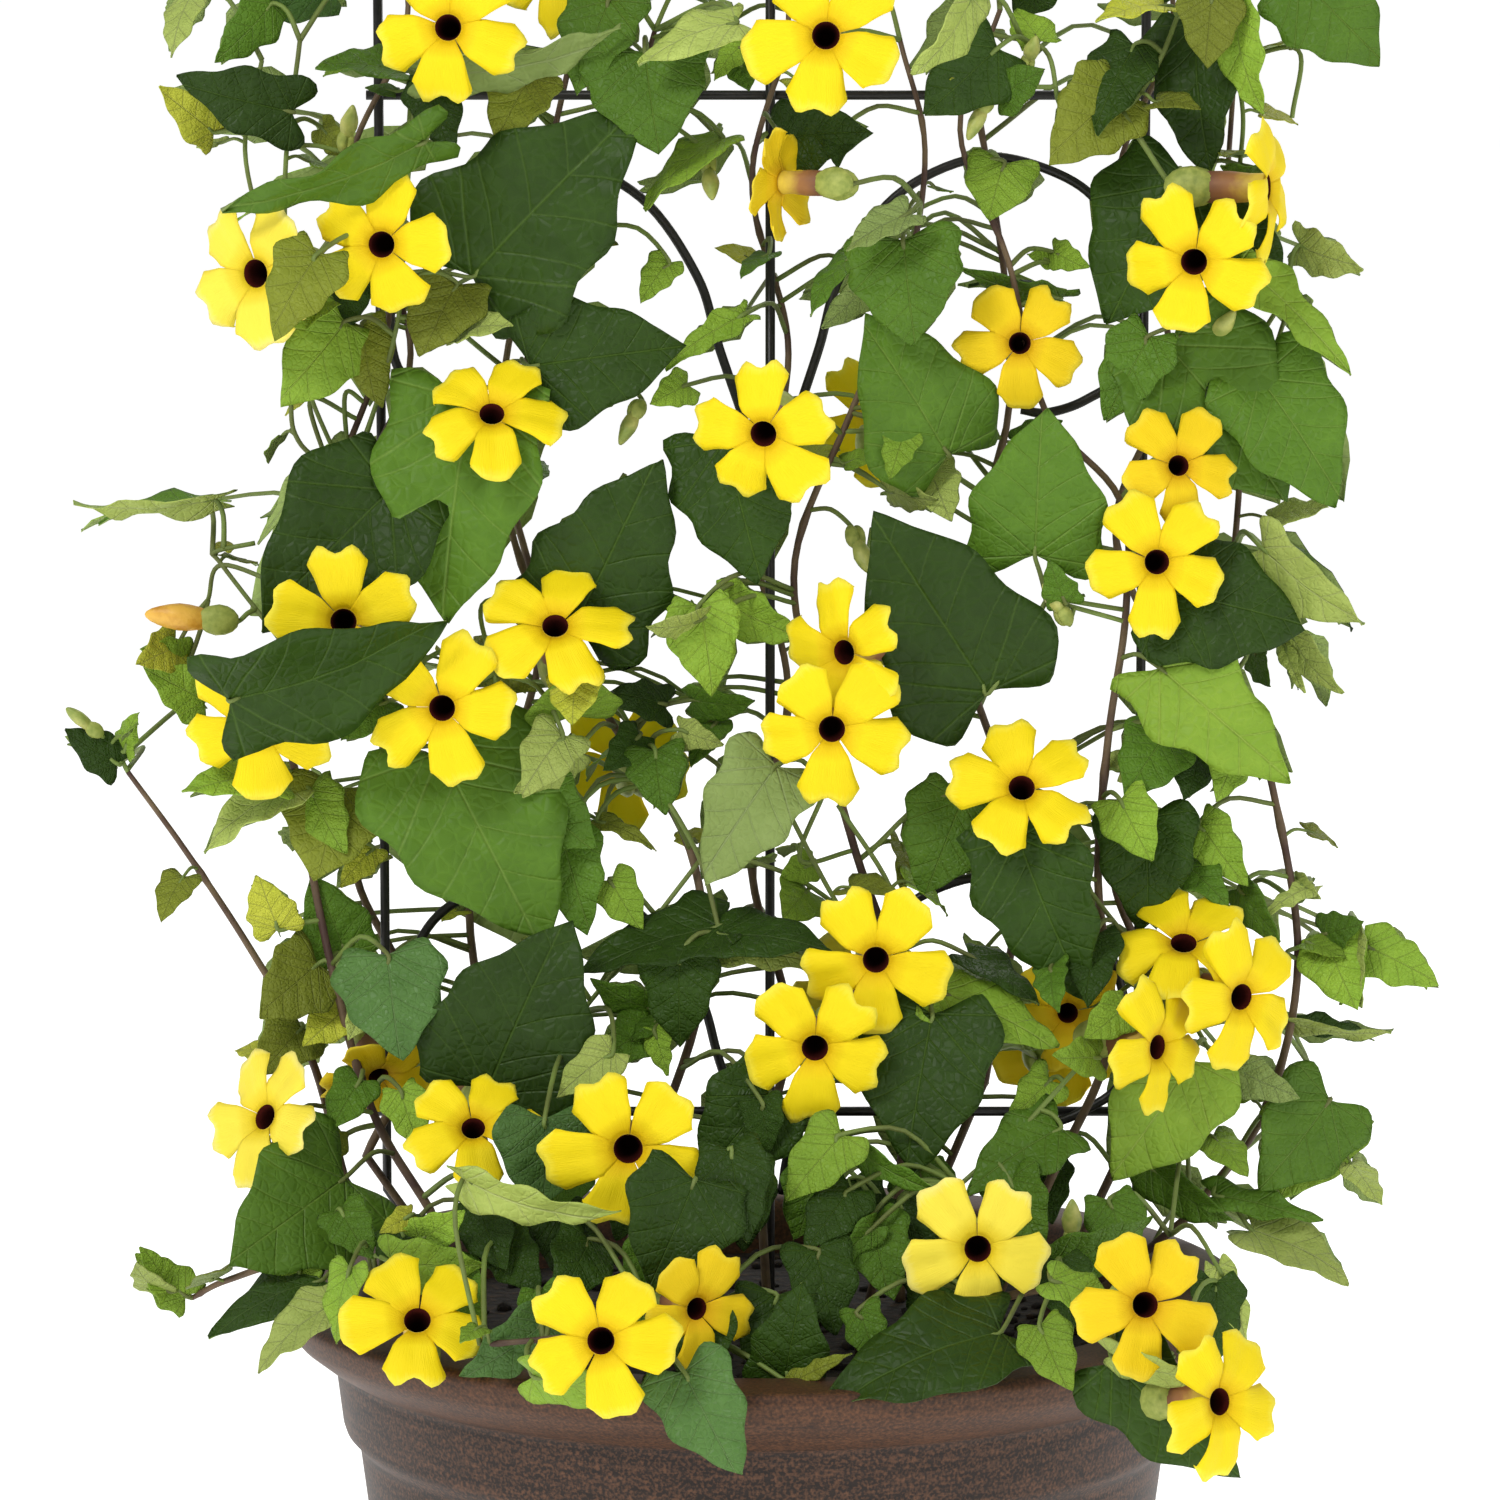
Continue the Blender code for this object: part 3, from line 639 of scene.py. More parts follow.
shoot_paths = []
for points in SHOOTS:
    route = [sight(*point) for point in points]
    start = nearest_on(list(stems.values()), route[0])
    if (start - route[0]).length > 1 * MM:
        route.insert(0, start)
    shoot_paths.append(smooth_path(route, STEPS))
for side, (near, far) in ARCH_CLIMBS.items():
    climb = arch_path(near, far, CLIMB_TURNS, CLIMB_LOOSE)
    twined_top = stems[f"stem_twined_{side}"][-1]
    shoot_paths.append(smooth_path([twined_top, (twined_top + climb[0]) / 2, climb[0]], 4)[:-1] + climb)
shoot_runs = [(path, [SHOOT_RADIUS] * len(path)) for path in shoot_paths]
finish_piece("young_shoots", tubes("young_shoots", shoot_runs), [YOUNG_BARK])
FOOTHOLDS = [path[:-1:3] + path[-1:] for path in list(stems.values()) + shoot_paths]
print("shoots:", len(shoot_paths))

# %% [markdown]
# ## One leaf
# A leaf of this vine is a pointed heart with shallow teeth near its base. Its blade starts as a grid, whose
# rows are pulled to the heart's outline, folded a little at the midrib, waved, and bent down at the tip. It
# stands on a petiole that reaches from the nearest stem.

# %% One blade
LOBE = 0.17
FINE_GRID, COARSE_GRID = (20, 12), (10, 8)
chance = random.Random(11)


def outline(t):
    """Half the width of the blade at t, from its base (0) to its tip (1)."""
    return max(0.004, (1 - t) ** 0.95 * (0.86 + 1.25 * t - 0.35 * t * t) / 0.88)


def place_leaf(shape, base, tip, width, roll, tone, fine, toward):
    """Adds one blade to a bmesh, with its UV map, tint and tone."""
    along = tip - base
    length = along.length
    along.normalize()
    facing = Matrix.Rotation(roll, 3, along) @ toward
    across = along.cross(facing).normalized()
    upper = across.cross(along)
    rows, columns = FINE_GRID if fine else COARSE_GRID
    fold = chance.uniform(-0.06, 0.2)
    wave = chance.uniform(0.01, 0.035)
    phase = chance.uniform(0, math.tau)
    curl = chance.uniform(0.02, 0.2)
    sweep = chance.uniform(-0.06, 0.06)
    lobe = LOBE * chance.uniform(0.75, 1.2)
    tint = chance.uniform(0.82, 1.2)
    tooth_pitch = chance.uniform(13, 20)
    uv_layer = shape.loops.layers.uv["blade"]
    tint_layer = shape.verts.layers.float["tint"]
    grid = bmesh.ops.create_grid(shape, x_segments=columns, y_segments=rows, size=1)
    spots = {}
    for corner in grid["verts"]:
        share, t = corner.co.x, (corner.co.y + 1) / 2
        side = abs(share)
        half = outline(t) * width / 2 * (1 - 0.16 * (1 - t) ** 8)
        tooth = 0.045 * side**4 * math.cos(t * tooth_pitch + phase) * (1 - t) ** 0.7
        x = share * (half + tooth) + sweep * t * t
        y = t - lobe * (1 - t) ** 3 * side**1.3 * (1.6 - 0.9 * side**3) + 0.03 * side * t * (1 - t)
        arch = fold * half * side - curl * t * t + 0.05 * math.sin(math.pi * t)
        ripple = wave * math.sin(t * 11 + phase + 2.5 * share) * side**1.5
        puff = 0.022 * noise.noise(Vector((x * 7, y * 7, phase * 3))) * (0.4 + side)
        spots[corner] = (x, y)
        corner[tint_layer] = tint
        corner.co = base + (along * y + across * x + upper * (arch + ripple + puff)) * length
    index = TONE_ORDER.index(tone)
    for face in {f for corner in grid["verts"] for f in corner.link_faces}:
        face.material_index = index
        for loop in face.loops:
            loop[uv_layer].uv = spots[loop.vert]
    return along


print("half width at the base, middle and tip:", [round(outline(t), 3) for t in (0, 0.5, 1)])

# %% [markdown]
# A group of leaves is one mesh, and its petioles are another. A leaf that the photograph shows narrow is
# mostly a leaf of common width seen from the side, so it's turned about its own length. Only the slimmest
# ones are built slim as well.

# %% Groups of leaves
SEEN_NARROW, SEEN_NARROWEST = 0.62, 0.3
NARROW_WIDTH, NARROWEST_WIDTH = 0.66, 0.32
MOST_ROLL = 14
LEAF_WALL_MM = 0.35
PETIOLE_RADIUS = 0.75 * MM
TOWARD_VIEWER = Vector((0, -math.cos(VIEW_TILT), math.sin(VIEW_TILT)))


def petiole_run(base, along, thick=1.0):
    """The run of a petiole from the nearest stem to a blade's base."""
    foot = nearest_on(FOOTHOLDS, base)
    gap = base - foot
    bend = foot + gap * 0.55 + Vector((0, 0, 0.12 * gap.length)) - along * 0.1 * gap.length
    path = smooth_path([foot, bend, base - along * 0.5 * MM, base + along * 3 * MM], 4)
    return path, [PETIOLE_RADIUS * thick * (1.15 - 0.3 * i / len(path)) for i in range(len(path))]


def leaf_layers():
    """An empty bmesh with the layers that a leaf or a flower needs."""
    shape = bmesh.new()
    shape.loops.layers.uv.new("blade")
    shape.verts.layers.float.new("tint")
    return shape


def leaf_group(name, rows, fine=True, toward=TOWARD_VIEWER, nodes=()):
    """A group of leaves. A row is tip (u, v), base (u, v), base depth, width, tone and perhaps tip depth."""
    shape = leaf_layers()
    runs = []
    for tip_u, tip_v, base_u, base_v, depth, width, tone, *given in rows:
        tip_depth = given[0] if given else depth - chance.uniform(4, 16)
        base, tip = sight(base_u, base_v, depth), sight(tip_u, tip_v, tip_depth)
        roll = math.radians(chance.uniform(-MOST_ROLL, MOST_ROLL))
        real = width
        if width < SEEN_NARROW:
            real = NARROW_WIDTH if width > SEEN_NARROWEST else NARROWEST_WIDTH
            roll = math.acos(width / real) * chance.choice((-1, 1))
        along = place_leaf(shape, base, tip, real, roll, tone, fine, toward)
        runs.append(petiole_run(base, along))
    finish_piece(name, to_mesh(name, shape), LEAF_FINISHES, nodes, LEAF_WALL_MM, len(LEAF_TONES))
    petioles = name.replace("leaves", "petioles")
    finish_piece(petioles, tubes(name, runs, 1), [YOUNG_BARK])
    return len(rows)


turned = math.degrees(math.acos(0.5 / NARROW_WIDTH))
print("a leaf that looks half as wide as long is turned by", round(turned), "degrees")

# %% [markdown]
# ## The leaves that the photograph shows
# They are listed by area. Each row gives the pixel of the leaf's tip, the pixel of its base, the depth of
# its base in millimetres, how wide it looks as a share of its length, and its tone. A few rows end with the
# depth of the tip, where the leaf comes forward or goes back. The two fill lists at the end are darker
# leaves deeper in, which shade the middle and the soil.

# %% Leaves at the top left
TOP_LEFT = (
    (631, 110, 472, 276, -28, 0.8, "dark", -42), (166, 50, 196, -12, -10, 0.5, "light"),
    (216, 62, 272, 4, -16, 0.55, "mid"), (240, 6, 330, -8, -8, 0.45, "blue"),
    (176, 84, 292, 112, -24, 0.62, "dark"), (163, 92, 214, 132, -18, 0.62, "lime"),
    (226, 222, 424, 142, -56, 0.22, "mid", -62), (270, 328, 318, 254, -60, 0.78, "olive"),
    (282, 400, 345, 322, -26, 0.85, "bright"), (374, 405, 362, 325, -22, 0.7, "olive"),
    (345, 330, 350, 268, -14, 0.8, "dark"), (315, 62, 400, 72, -18, 0.38, "mid"),
    (352, 160, 322, 128, -12, 0.6, "olive"), (384, 172, 355, 150, -12, 0.6, "olive"),
    (622, 52, 425, 74, -34, 0.2, "under"), (446, 152, 430, 80, -28, 0.75, "dark"),
    (495, 137, 530, 78, -26, 0.9, "olive"), (658, 152, 645, 52, -30, 1.25, "mid"),
    (575, 88, 610, 0, -20, 0.8, "mid"), (636, 53, 736, 22, -44, 0.45, "light"),
    (682, 346, 530, 366, -34, 0.85, "dark"), (422, 355, 456, 284, -30, 1.0, "olive"),
    (507, 322, 462, 332, -32, 0.45, "light"), (639, 199, 722, 138, -20, 0.35, "bright"),
    (738, 275, 768, 254, -2, 0.35, "mid"), (664, 362, 745, 314, -14, 0.3, "bright"),
    (750, 88, 738, 60, -16, 1, "mid"), (712, 75, 745, 42, -18, 0.6, "bright"),
)
print("top left:", leaf_group("leaves_top_left", TOP_LEFT, nodes=["leaf_top_left"]))

# %% Leaves at the top middle and right
TOP_MIDDLE = (
    (864, 130, 785, 138, -20, 0.8, "dark"), (838, 158, 842, 128, -22, 0.7, "dark"),
    (915, 345, 903, 240, -36, 1.1, "mid"), (845, 248, 908, 214, -42, 0.5, "under"),
    (802, 305, 853, 256, -24, 0.32, "mid"), (832, 330, 876, 268, -18, 0.5, "under"),
    (868, 323, 948, 455, -30, 0.9, "mid"), (890, 478, 905, 432, -32, 0.7, "bright"),
    (925, 115, 998, 48, -30, 0.9, "dark"), (1042, 70, 998, 97, -28, 0.8, "mid"),
    (918, 78, 972, -2, -38, 0.34, "light"), (988, 219, 1004, 163, -18, 1.2, "bright"),
    (1050, 156, 1118, 92, -22, 0.9, "olive"), (1092, 132, 1135, 45, -16, 0.6, "dark"),
    (957, 273, 1060, 298, -10, 0.2, "mid"), (1030, 252, 1050, 262, -6, 0.6, "bright"),
    (1085, 268, 1053, 252, -6, 0.7, "bright"),
)
TOP_RIGHT = (
    (1207, 176, 1195, 25, -14, 0.58, "dark", -26), (1290, 500, 1168, 345, -22, 0.85, "mid", -30),
    (1382, 61, 1300, -22, -26, 0.95, "mid"), (1250, 113, 1236, 14, -30, 0.45, "bright"),
    (1205, 68, 1212, -6, -34, 0.9, "olive"), (1100, 12, 1165, 6, -24, 0.35, "lime"),
    (1105, 322, 1190, 180, -20, 1.0, "dark"), (1277, 297, 1225, 215, -14, 0.8, "dark"),
    (1222, 168, 1264, 178, -18, 0.45, "mid"), (1362, 268, 1300, 246, -12, 0.55, "light"),
    (1353, 373, 1240, 262, -24, 0.3, "bright"), (1345, 500, 1260, 378, -24, 0.85, "mid"),
    (1105, 420, 1150, 336, -26, 0.75, "mid"),
)
print("top middle:", leaf_group("leaves_top_middle", TOP_MIDDLE))
print("top right:", leaf_group("leaves_top_right", TOP_RIGHT, nodes=["leaf_top_right", "leaf_right_upper"]))

# %% Leaves on the left
LEFT = (
    (66, 732, 118, 764, -12, 0.75, "dark", -16), (540, 945, 440, 752, -40, 0.9, "mid", -52),
    (560, 925, 488, 1088, -64, 0.95, "dark", -72),
    (75, 508, 214, 500, -14, 0.12, "light"), (145, 648, 188, 660, -14, 0.7, "bright"),
    (150, 672, 205, 700, -14, 0.75, "bright"), (136, 712, 125, 750, -12, 0.5, "bright"),
    (252, 532, 347, 450, -22, 0.25, "under"), (256, 625, 390, 490, -40, 0.85, "dark"),
    (440, 622, 470, 400, -36, 0.78, "mid"), (446, 636, 230, 700, -74, 0.5, "dark", -78),
    (655, 463, 575, 625, -34, 0.8, "dark"), (345, 735, 385, 700, -30, 0.8, "mid"),
    (530, 690, 478, 655, -20, 0.6, "olive"), (573, 677, 573, 716, -44, 1.6, "bright"),
    (518, 797, 575, 752, -46, 0.5, "light"), (655, 400, 688, 385, -24, 0.8, "bright"),
    (187, 783, 275, 778, -32, 0.45, "bright"), (197, 838, 292, 790, -28, 0.42, "light"),
    (318, 878, 340, 788, -28, 1.1, "olive"), (316, 878, 345, 952, -24, 0.9, "mid"),
    (340, 885, 372, 848, -20, 0.7, "lime"), (258, 877, 279, 929, -34, 0.9, "lime"),
    (262, 1012, 318, 964, -32, 1, "olive"), (262, 1072, 302, 1028, -30, 1, "olive"),
    (305, 1045, 350, 1005, -28, 0.8, "lime"), (400, 1060, 387, 955, -58, 1.05, "blue"),
)
print("left:", leaf_group("leaves_left", LEFT, nodes=["leaf_far_left", "leaf_left_big", "leaf_low_dark"]))

# %% Leaves in the middle
CENTRE = (
    (872, 515, 988, 692, -40, 0.8, "dark", -50), (760, 582, 725, 440, -34, 0.9, "dark"),
    (715, 695, 700, 606, -46, 0.8, "bright"), (650, 632, 700, 620, -48, 0.35, "light"),
    (800, 640, 720, 600, -30, 0.6, "bright"), (662, 812, 655, 750, -36, 0.95, "mid"),
    (607, 772, 640, 735, -30, 0.7, "dark"), (608, 690, 665, 705, -26, 0.6, "dark"),
    (755, 705, 692, 700, -24, 0.5, "mid"), (690, 765, 715, 722, -22, 0.6, "mid"),
    (1042, 410, 1035, 555, -38, 0.95, "mid"), (1050, 565, 1065, 602, -44, 0.7, "mid"),
    (935, 503, 888, 490, -20, 0.4, "light"), (925, 895, 962, 800, -44, 1.0, "mid"),
    (1083, 1003, 1018, 838, -56, 0.7, "dark"), (1085, 1003, 1095, 935, -50, 0.7, "dark"),
    (1058, 1048, 942, 992, -62, 0.5, "bright"), (905, 1172, 932, 1014, -70, 0.9, "dark"),
    (1052, 1008, 1052, 966, -58, 0.55, "mid"), (1086, 1040, 1125, 1008, -66, 0.9, "bright"),
    (1058, 1058, 1099, 1058, -66, 0.7, "bright"), (829, 945, 720, 935, -54, 0.4, "dark"),
    (825, 962, 725, 950, -52, 0.3, "light"), (578, 972, 720, 926, -50, 0.4, "dark"),
    (678, 1048, 680, 955, -58, 0.85, "dark"), (668, 1075, 655, 1030, -54, 0.6, "bright"),
    (592, 985, 655, 1010, -46, 0.5, "mid"), (600, 1060, 650, 1025, -48, 0.8, "mid"),
    (700, 878, 776, 766, -56, 0.75, "under"), (588, 932, 562, 836, -38, 0.75, "mid"),
    (656, 843, 598, 820, -36, 0.25, "olive"), (590, 850, 520, 785, -40, 0.9, "mid"),
    (782, 878, 812, 864, -30, 1, "bright"), (785, 915, 808, 890, -30, 1, "bright"),
    (905, 890, 902, 845, -26, 0.4, "olive"), (1040, 1000, 968, 955, -52, 0.35, "dark"),
    (556, 1096, 612, 1052, -76, 0.6, "light"), (785, 1200, 842, 1135, -92, 0.75, "bright"),
    (700, 1180, 770, 1095, -78, 1, "dark"), (965, 1188, 1060, 1128, -72, 0.6, "mid"),
)
print("centre:", leaf_group("leaves_centre", CENTRE, nodes=["leaf_centre_big"]))

# %% Leaves on the right
RIGHT = (
    (1440, 983, 1366, 946, -18, 0.7, "bright", -24), (1262, 1190, 1330, 1100, -30, 0.95, "mid", -42),
    (1305, 622, 1165, 592, -38, 1.0, "dark"), (1360, 626, 1262, 548, -30, 0.45, "light"),
    (1332, 700, 1290, 632, -24, 0.4, "light"), (1300, 690, 1284, 645, -22, 0.3, "light"),
    (1264, 686, 1255, 650, -18, 0.35, "mid"), (1290, 780, 1160, 668, -40, 0.65, "bright"),
    (1125, 795, 1165, 735, -26, 0.9, "mid"), (1190, 798, 1200, 738, -22, 0.8, "dark"),
    (1218, 800, 1240, 738, -28, 0.7, "bright"), (1243, 885, 1200, 824, -22, 0.7, "bright"),
    (1228, 903, 1182, 862, -24, 0.6, "mid"), (1150, 927, 1145, 818, -30, 0.95, "dark"),
    (1262, 912, 1312, 886, -14, 0.25, "light"), (1318, 898, 1296, 880, -12, 0.6, "light"),
    (1352, 1006, 1352, 938, -20, 0.4, "light"), (1353, 1006, 1327, 940, -20, 0.9, "bright"),
    (1356, 925, 1322, 935, -18, 0.8, "mid"), (1390, 1037, 1290, 1022, -16, 0.13, "light"),
    (1280, 940, 1240, 888, -20, 0.5, "mid"), (1112, 1180, 1190, 1060, -46, 0.9, "bright"),
    (1300, 1098, 1235, 1068, -36, 0.6, "under"), (1282, 1196, 1327, 1107, -24, 1.0, "bright"),
    (1380, 1203, 1350, 1163, -30, 0.5, "light"), (1322, 1220, 1215, 1195, -34, 0.28, "mid"),
    (1353, 1274, 1252, 1230, -36, 0.45, "light"), (1228, 1228, 1150, 1166, -30, 0.45, "mid"),
)
print("right:", leaf_group("leaves_right", RIGHT, nodes=["leaf_right_tip", "leaf_right_low"]))

# %% Leaves low down, over the rim and deep inside
LOW = (
    (230, 1262, 345, 1178, -62, 0.95, "mid", -92), (136, 1258, 186, 1296, -52, 0.75, "bright", -56),
    (240, 1180, 272, 1145, -50, 0.6, "light"), (206, 1322, 322, 1280, -84, 0.38, "dark"),
    (250, 1363, 332, 1304, -104, 0.42, "light"), (330, 1342, 350, 1268, -112, 0.5, "bright"),
    (148, 1248, 168, 1290, -54, 0.55, "bright"), (133, 1265, 160, 1290, -54, 0.5, "light"),
    (483, 1268, 392, 1262, -104, 0.62, "bright"), (462, 1212, 420, 1240, -100, 0.7, "bright"),
    (380, 1232, 412, 1215, -98, 0.7, "lime"), (607, 1236, 464, 1180, -112, 0.25, "light"),
    (545, 1208, 545, 1118, -98, 1.2, "blue"), (500, 1270, 480, 1205, -96, 0.9, "dark"),
    (650, 1290, 695, 1180, -116, 1.05, "dark"), (745, 1240, 730, 1150, -108, 0.8, "dark"),
    (462, 1380, 545, 1322, -132, 0.6, "blue"), (560, 1300, 590, 1240, -100, 0.9, "dark"),
    (540, 1290, 500, 1240, -98, 0.8, "dark"), (770, 1150, 760, 1100, -84, 0.9, "dark"),
    (808, 1245, 850, 1190, -94, 0.8, "dark"), (800, 1290, 872, 1228, -98, 0.3, "mid"),
    (940, 1196, 852, 1146, -84, 0.25, "mid"), (800, 1290, 785, 1380, -122, 0.85, "dark"),
    (850, 1355, 792, 1383, -128, 0.25, "olive"), (1155, 1225, 1055, 1262, -96, 0.5, "mid"),
)
RIM = (
    (737, 1477, 684, 1372, -158, 0.8, "blue", -168), (828, 1388, 1000, 1332, -132, 0.5, "dark", -152),
    (1240, 1480, 1112, 1362, -142, 0.62, "dark", -150), (640, 1398, 534, 1376, -158, 0.45, "bright"),
    (1067, 1391, 1040, 1325, -138, 0.8, "bright"), (1127, 1310, 1052, 1280, -152, 0.45, "bright"),
    (1205, 1385, 1112, 1355, -150, 0.35, "light"), (1255, 1355, 1218, 1268, -96, 0.3, "light"),
    (1215, 1372, 1215, 1282, -100, 0.6, "dark"),
)
LOW_FILL = (
    (700, 1395, 700, 1310, -118, 0.9, "dark"), (765, 1385, 775, 1295, -112, 0.95, "dark"),
    (640, 1330, 660, 1250, -100, 0.9, "mid"), (835, 1335, 815, 1250, -104, 0.85, "dark"),
    (890, 1300, 870, 1220, -92, 0.85, "mid"), (925, 1280, 900, 1200, -84, 0.8, "dark"),
    (590, 1290, 560, 1215, -92, 0.9, "dark"), (480, 1330, 450, 1270, -100, 0.8, "mid"),
    (430, 1290, 400, 1230, -90, 0.8, "dark"), (1040, 1250, 1010, 1180, -84, 0.8, "mid"),
    (1075, 1330, 1060, 1260, -108, 0.8, "dark"), (1130, 1270, 1110, 1200, -80, 0.85, "mid"),
    (880, 1370, 860, 1310, -120, 0.7, "mid"), (370, 1260, 340, 1210, -80, 0.8, "mid"),
    (300, 1330, 300, 1270, -80, 0.7, "bright"), (760, 1230, 745, 1170, -88, 0.9, "dark"),
    (950, 1350, 930, 1280, -96, 0.8, "dark"), (870, 1260, 830, 1200, -70, 0.8, "dark"),
    (560, 1350, 540, 1290, -116, 0.8, "mid"), (1000, 1330, 960, 1270, -88, 0.8, "dark"),
    (330, 1130, 360, 1080, -50, 0.8, "mid"), (300, 1180, 330, 1130, -50, 0.8, "olive"),
    (420, 1150, 400, 1090, -60, 0.7, "bright"), (350, 1040, 370, 990, -44, 0.7, "light"),
)
CENTRE_FILL = (
    (740, 1250, 745, 1180, -30, 0.9, "dark"), (800, 1240, 815, 1170, -20, 0.9, "mid"),
    (860, 1250, 850, 1180, -30, 0.9, "dark"), (930, 1240, 920, 1170, -24, 0.9, "mid"),
    (1000, 1290, 985, 1220, -30, 0.9, "dark"), (680, 1230, 690, 1165, -40, 0.9, "mid"),
    (620, 1240, 640, 1180, -40, 0.9, "dark"), (1050, 1220, 1040, 1160, -30, 0.85, "dark"),
    (550, 1220, 570, 1160, -40, 0.9, "mid"),
    (572, 724, 576, 674, -52, 1.0, "lime"), (522, 790, 562, 735, -54, 0.8, "light"),
    (716, 690, 700, 610, -40, 0.9, "bright"), (140, 664, 176, 646, -16, 0.8, "lime"),
    (640, 930, 610, 880, -40, 0.8, "bright"), (720, 745, 680, 730, -34, 0.7, "light"),
    (1010, 1120, 1050, 1080, -60, 0.8, "bright"), (500, 1010, 540, 960, -40, 0.8, "light"),
    (1150, 860, 1120, 800, -40, 0.9, "bright"), (340, 850, 310, 790, -30, 0.8, "bright"),
    (950, 520, 930, 470, -20, 0.8, "light"), (640, 300, 668, 262, -20, 0.7, "bright"),
)
print("centre fill:", leaf_group("leaves_centre_fill", CENTRE_FILL))
print("low fill:", leaf_group("leaves_low_fill", LOW_FILL))
print("low:", leaf_group("leaves_low", LOW, nodes=["leaf_left_low", "leaf_left_shoot"]))
print("rim:", leaf_group("leaves_rim", RIM, nodes=["leaf_rim_middle", "leaf_rim_broad", "leaf_rim_right"]))

# %% [markdown]
# ## The leaves that the photograph doesn't show
# The back of such a vine is as leafy as its front. Each leaf behind stands exactly behind a leaf in front,
# as the camera sees it, so that the gaps where the photograph shows white stay open.

# %% Leaves behind
AWAY_FROM_VIEWER = Vector((0, math.cos(VIEW_TILT), math.sin(VIEW_TILT)))
TO_THE_SIDE = Vector((0.8, 0.3, 0.5)).normalized()
SHORTEST_HIDER = 60
BACK_TONES = ("dark", "mid", "mid", "bright", "olive")


def behind(rows, depth_low, depth_high, shrink):
    """Rows for leaves that hide behind the given ones, unless those are too short to hide one."""
    found = []
    for tip_u, tip_v, base_u, base_v, _, width, *_ in rows:
        if abs(tip_u - base_u) + abs(tip_v - base_v) < SHORTEST_HIDER:
            continue
        away = chance.uniform(depth_low, depth_high)
        middle_u, middle_v = (tip_u + base_u) / 2, (tip_v + base_v) / 2
        tip = (middle_u + (tip_u - middle_u) * shrink, middle_v + (tip_v - middle_v) * shrink)
        base = (middle_u + (base_u - middle_u) * shrink, middle_v + (base_v - middle_v) * shrink)
        tone = chance.choice(BACK_TONES)
        found.append((*tip, *base, away, width, tone, away + chance.uniform(2, 14)))
    return found


BACK_ROWS = behind(TOP_LEFT + TOP_MIDDLE + TOP_RIGHT + LEFT + CENTRE + RIGHT, 62, 98, 0.92)
INNER_ROWS = behind(TOP_LEFT + TOP_MIDDLE + LEFT + CENTRE + RIGHT, 8, 48, 0.75)
BACK_NODES = ["leaf_back_low_left", "leaf_back_low_right", "leaf_back_left", "leaf_back_right"]
print("back:", leaf_group("leaves_back", BACK_ROWS, False, AWAY_FROM_VIEWER, BACK_NODES))
print("inner:", leaf_group("leaves_inner", INNER_ROWS, False, TO_THE_SIDE))

# %% [markdown]
# Above the photograph's edge the vine goes on up the arch, in front of the wires and behind them.

# %% Leaves of the crown
CROWN = (
    (540, -260, 620, -150, 28, 0.78, "mid", 20), (960, -300, 895, -170, 26, 0.78, "mid", 14),
    (420, -90, 500, -30, 20, 0.8, "dark"), (660, -310, 700, -200, 20, 0.8, "bright"),
    (800, -290, 780, -190, 24, 0.85, "mid"), (1060, -190, 980, -110, 20, 0.8, "olive"),
    (1080, -60, 1010, -10, 16, 0.8, "dark"), (560, -160, 640, -90, 12, 0.8, "bright"),
    (720, -110, 690, -30, 10, 0.85, "mid"), (860, -90, 880, -20, 8, 0.85, "dark"),
    (480, -190, 560, -110, 30, 0.8, "olive"), (930, -170, 900, -80, 34, 0.8, "bright"),
    (330, -150, 385, -120, 6, 0.8, "mid"), (360, -270, 400, -210, 4, 0.8, "bright"),
    (420, -360, 450, -290, 8, 0.8, "mid"), (520, -440, 540, -370, 6, 0.8, "olive"),
    (640, -460, 640, -400, 4, 0.85, "bright"), (700, -400, 740, -460, -2, 0.85, "dark"),
    (850, -480, 830, -420, 4, 0.8, "mid"), (940, -400, 950, -350, 2, 0.8, "bright"),
    (1050, -370, 1020, -310, 6, 0.8, "dark"), (1140, -250, 1090, -220, 4, 0.8, "mid"),
    (1190, -130, 1130, -120, 4, 0.8, "bright"), (600, -330, 570, -400, -4, 0.85, "mid"),
    (860, -330, 890, -400, -4, 0.85, "mid"), (430, -210, 400, -260, -4, 0.85, "dark"),
    (1080, -170, 1100, -240, -4, 0.85, "olive"), (300, -60, 370, -40, 4, 0.8, "mid"),
    (1220, -30, 1150, -30, 4, 0.8, "dark"), (770, -360, 760, -420, 30, 0.85, "mid"),
)
CROWN_BACK = behind(CROWN, 30, 52, 0.9)
print("behind the crown:", leaf_group("leaves_crown_back", CROWN_BACK, False, AWAY_FROM_VIEWER))
print("crown:", leaf_group("leaves_crown", CROWN, nodes=["leaf_crown_left", "leaf_crown_right"]))

# %% [markdown]
# ## One flower
# Five petals join at a dark eye. Each is a grid, bent round the eye at its foot and cut almost straight at
# its end, with a small notch, and tipped so that one edge lies over its neighbour. A flower is built in
# millimetres, facing up, and a matrix then puts it in its place.

# %% Petals
PETALS = 5
FACE_RADIUS = 22.0
EYE_RADIUS = 3.9
JOINED_TO = 8.4
PETAL_CELLS = 10
PETAL_ORDER = list(PETAL_TONES)


def soft_step(value):
    """A smooth step from 0 to 1."""
    value = max(0, min(1, value))
    return value * value * (3 - 2 * value)


def flower_frame(centre, facing, spin, size):
    """The matrix that puts a flower, built in millimetres facing +Z, in its place."""
    out = Vector(facing).normalized()
    side = UPWARD.cross(out).normalized()
    up = out.cross(side)
    turn = Matrix((side, up, out)).transposed().to_4x4()
    return Matrix.Translation(centre) @ turn @ Matrix.Rotation(spin, 4, "Z") @ Matrix.Scale(size * MM, 4)


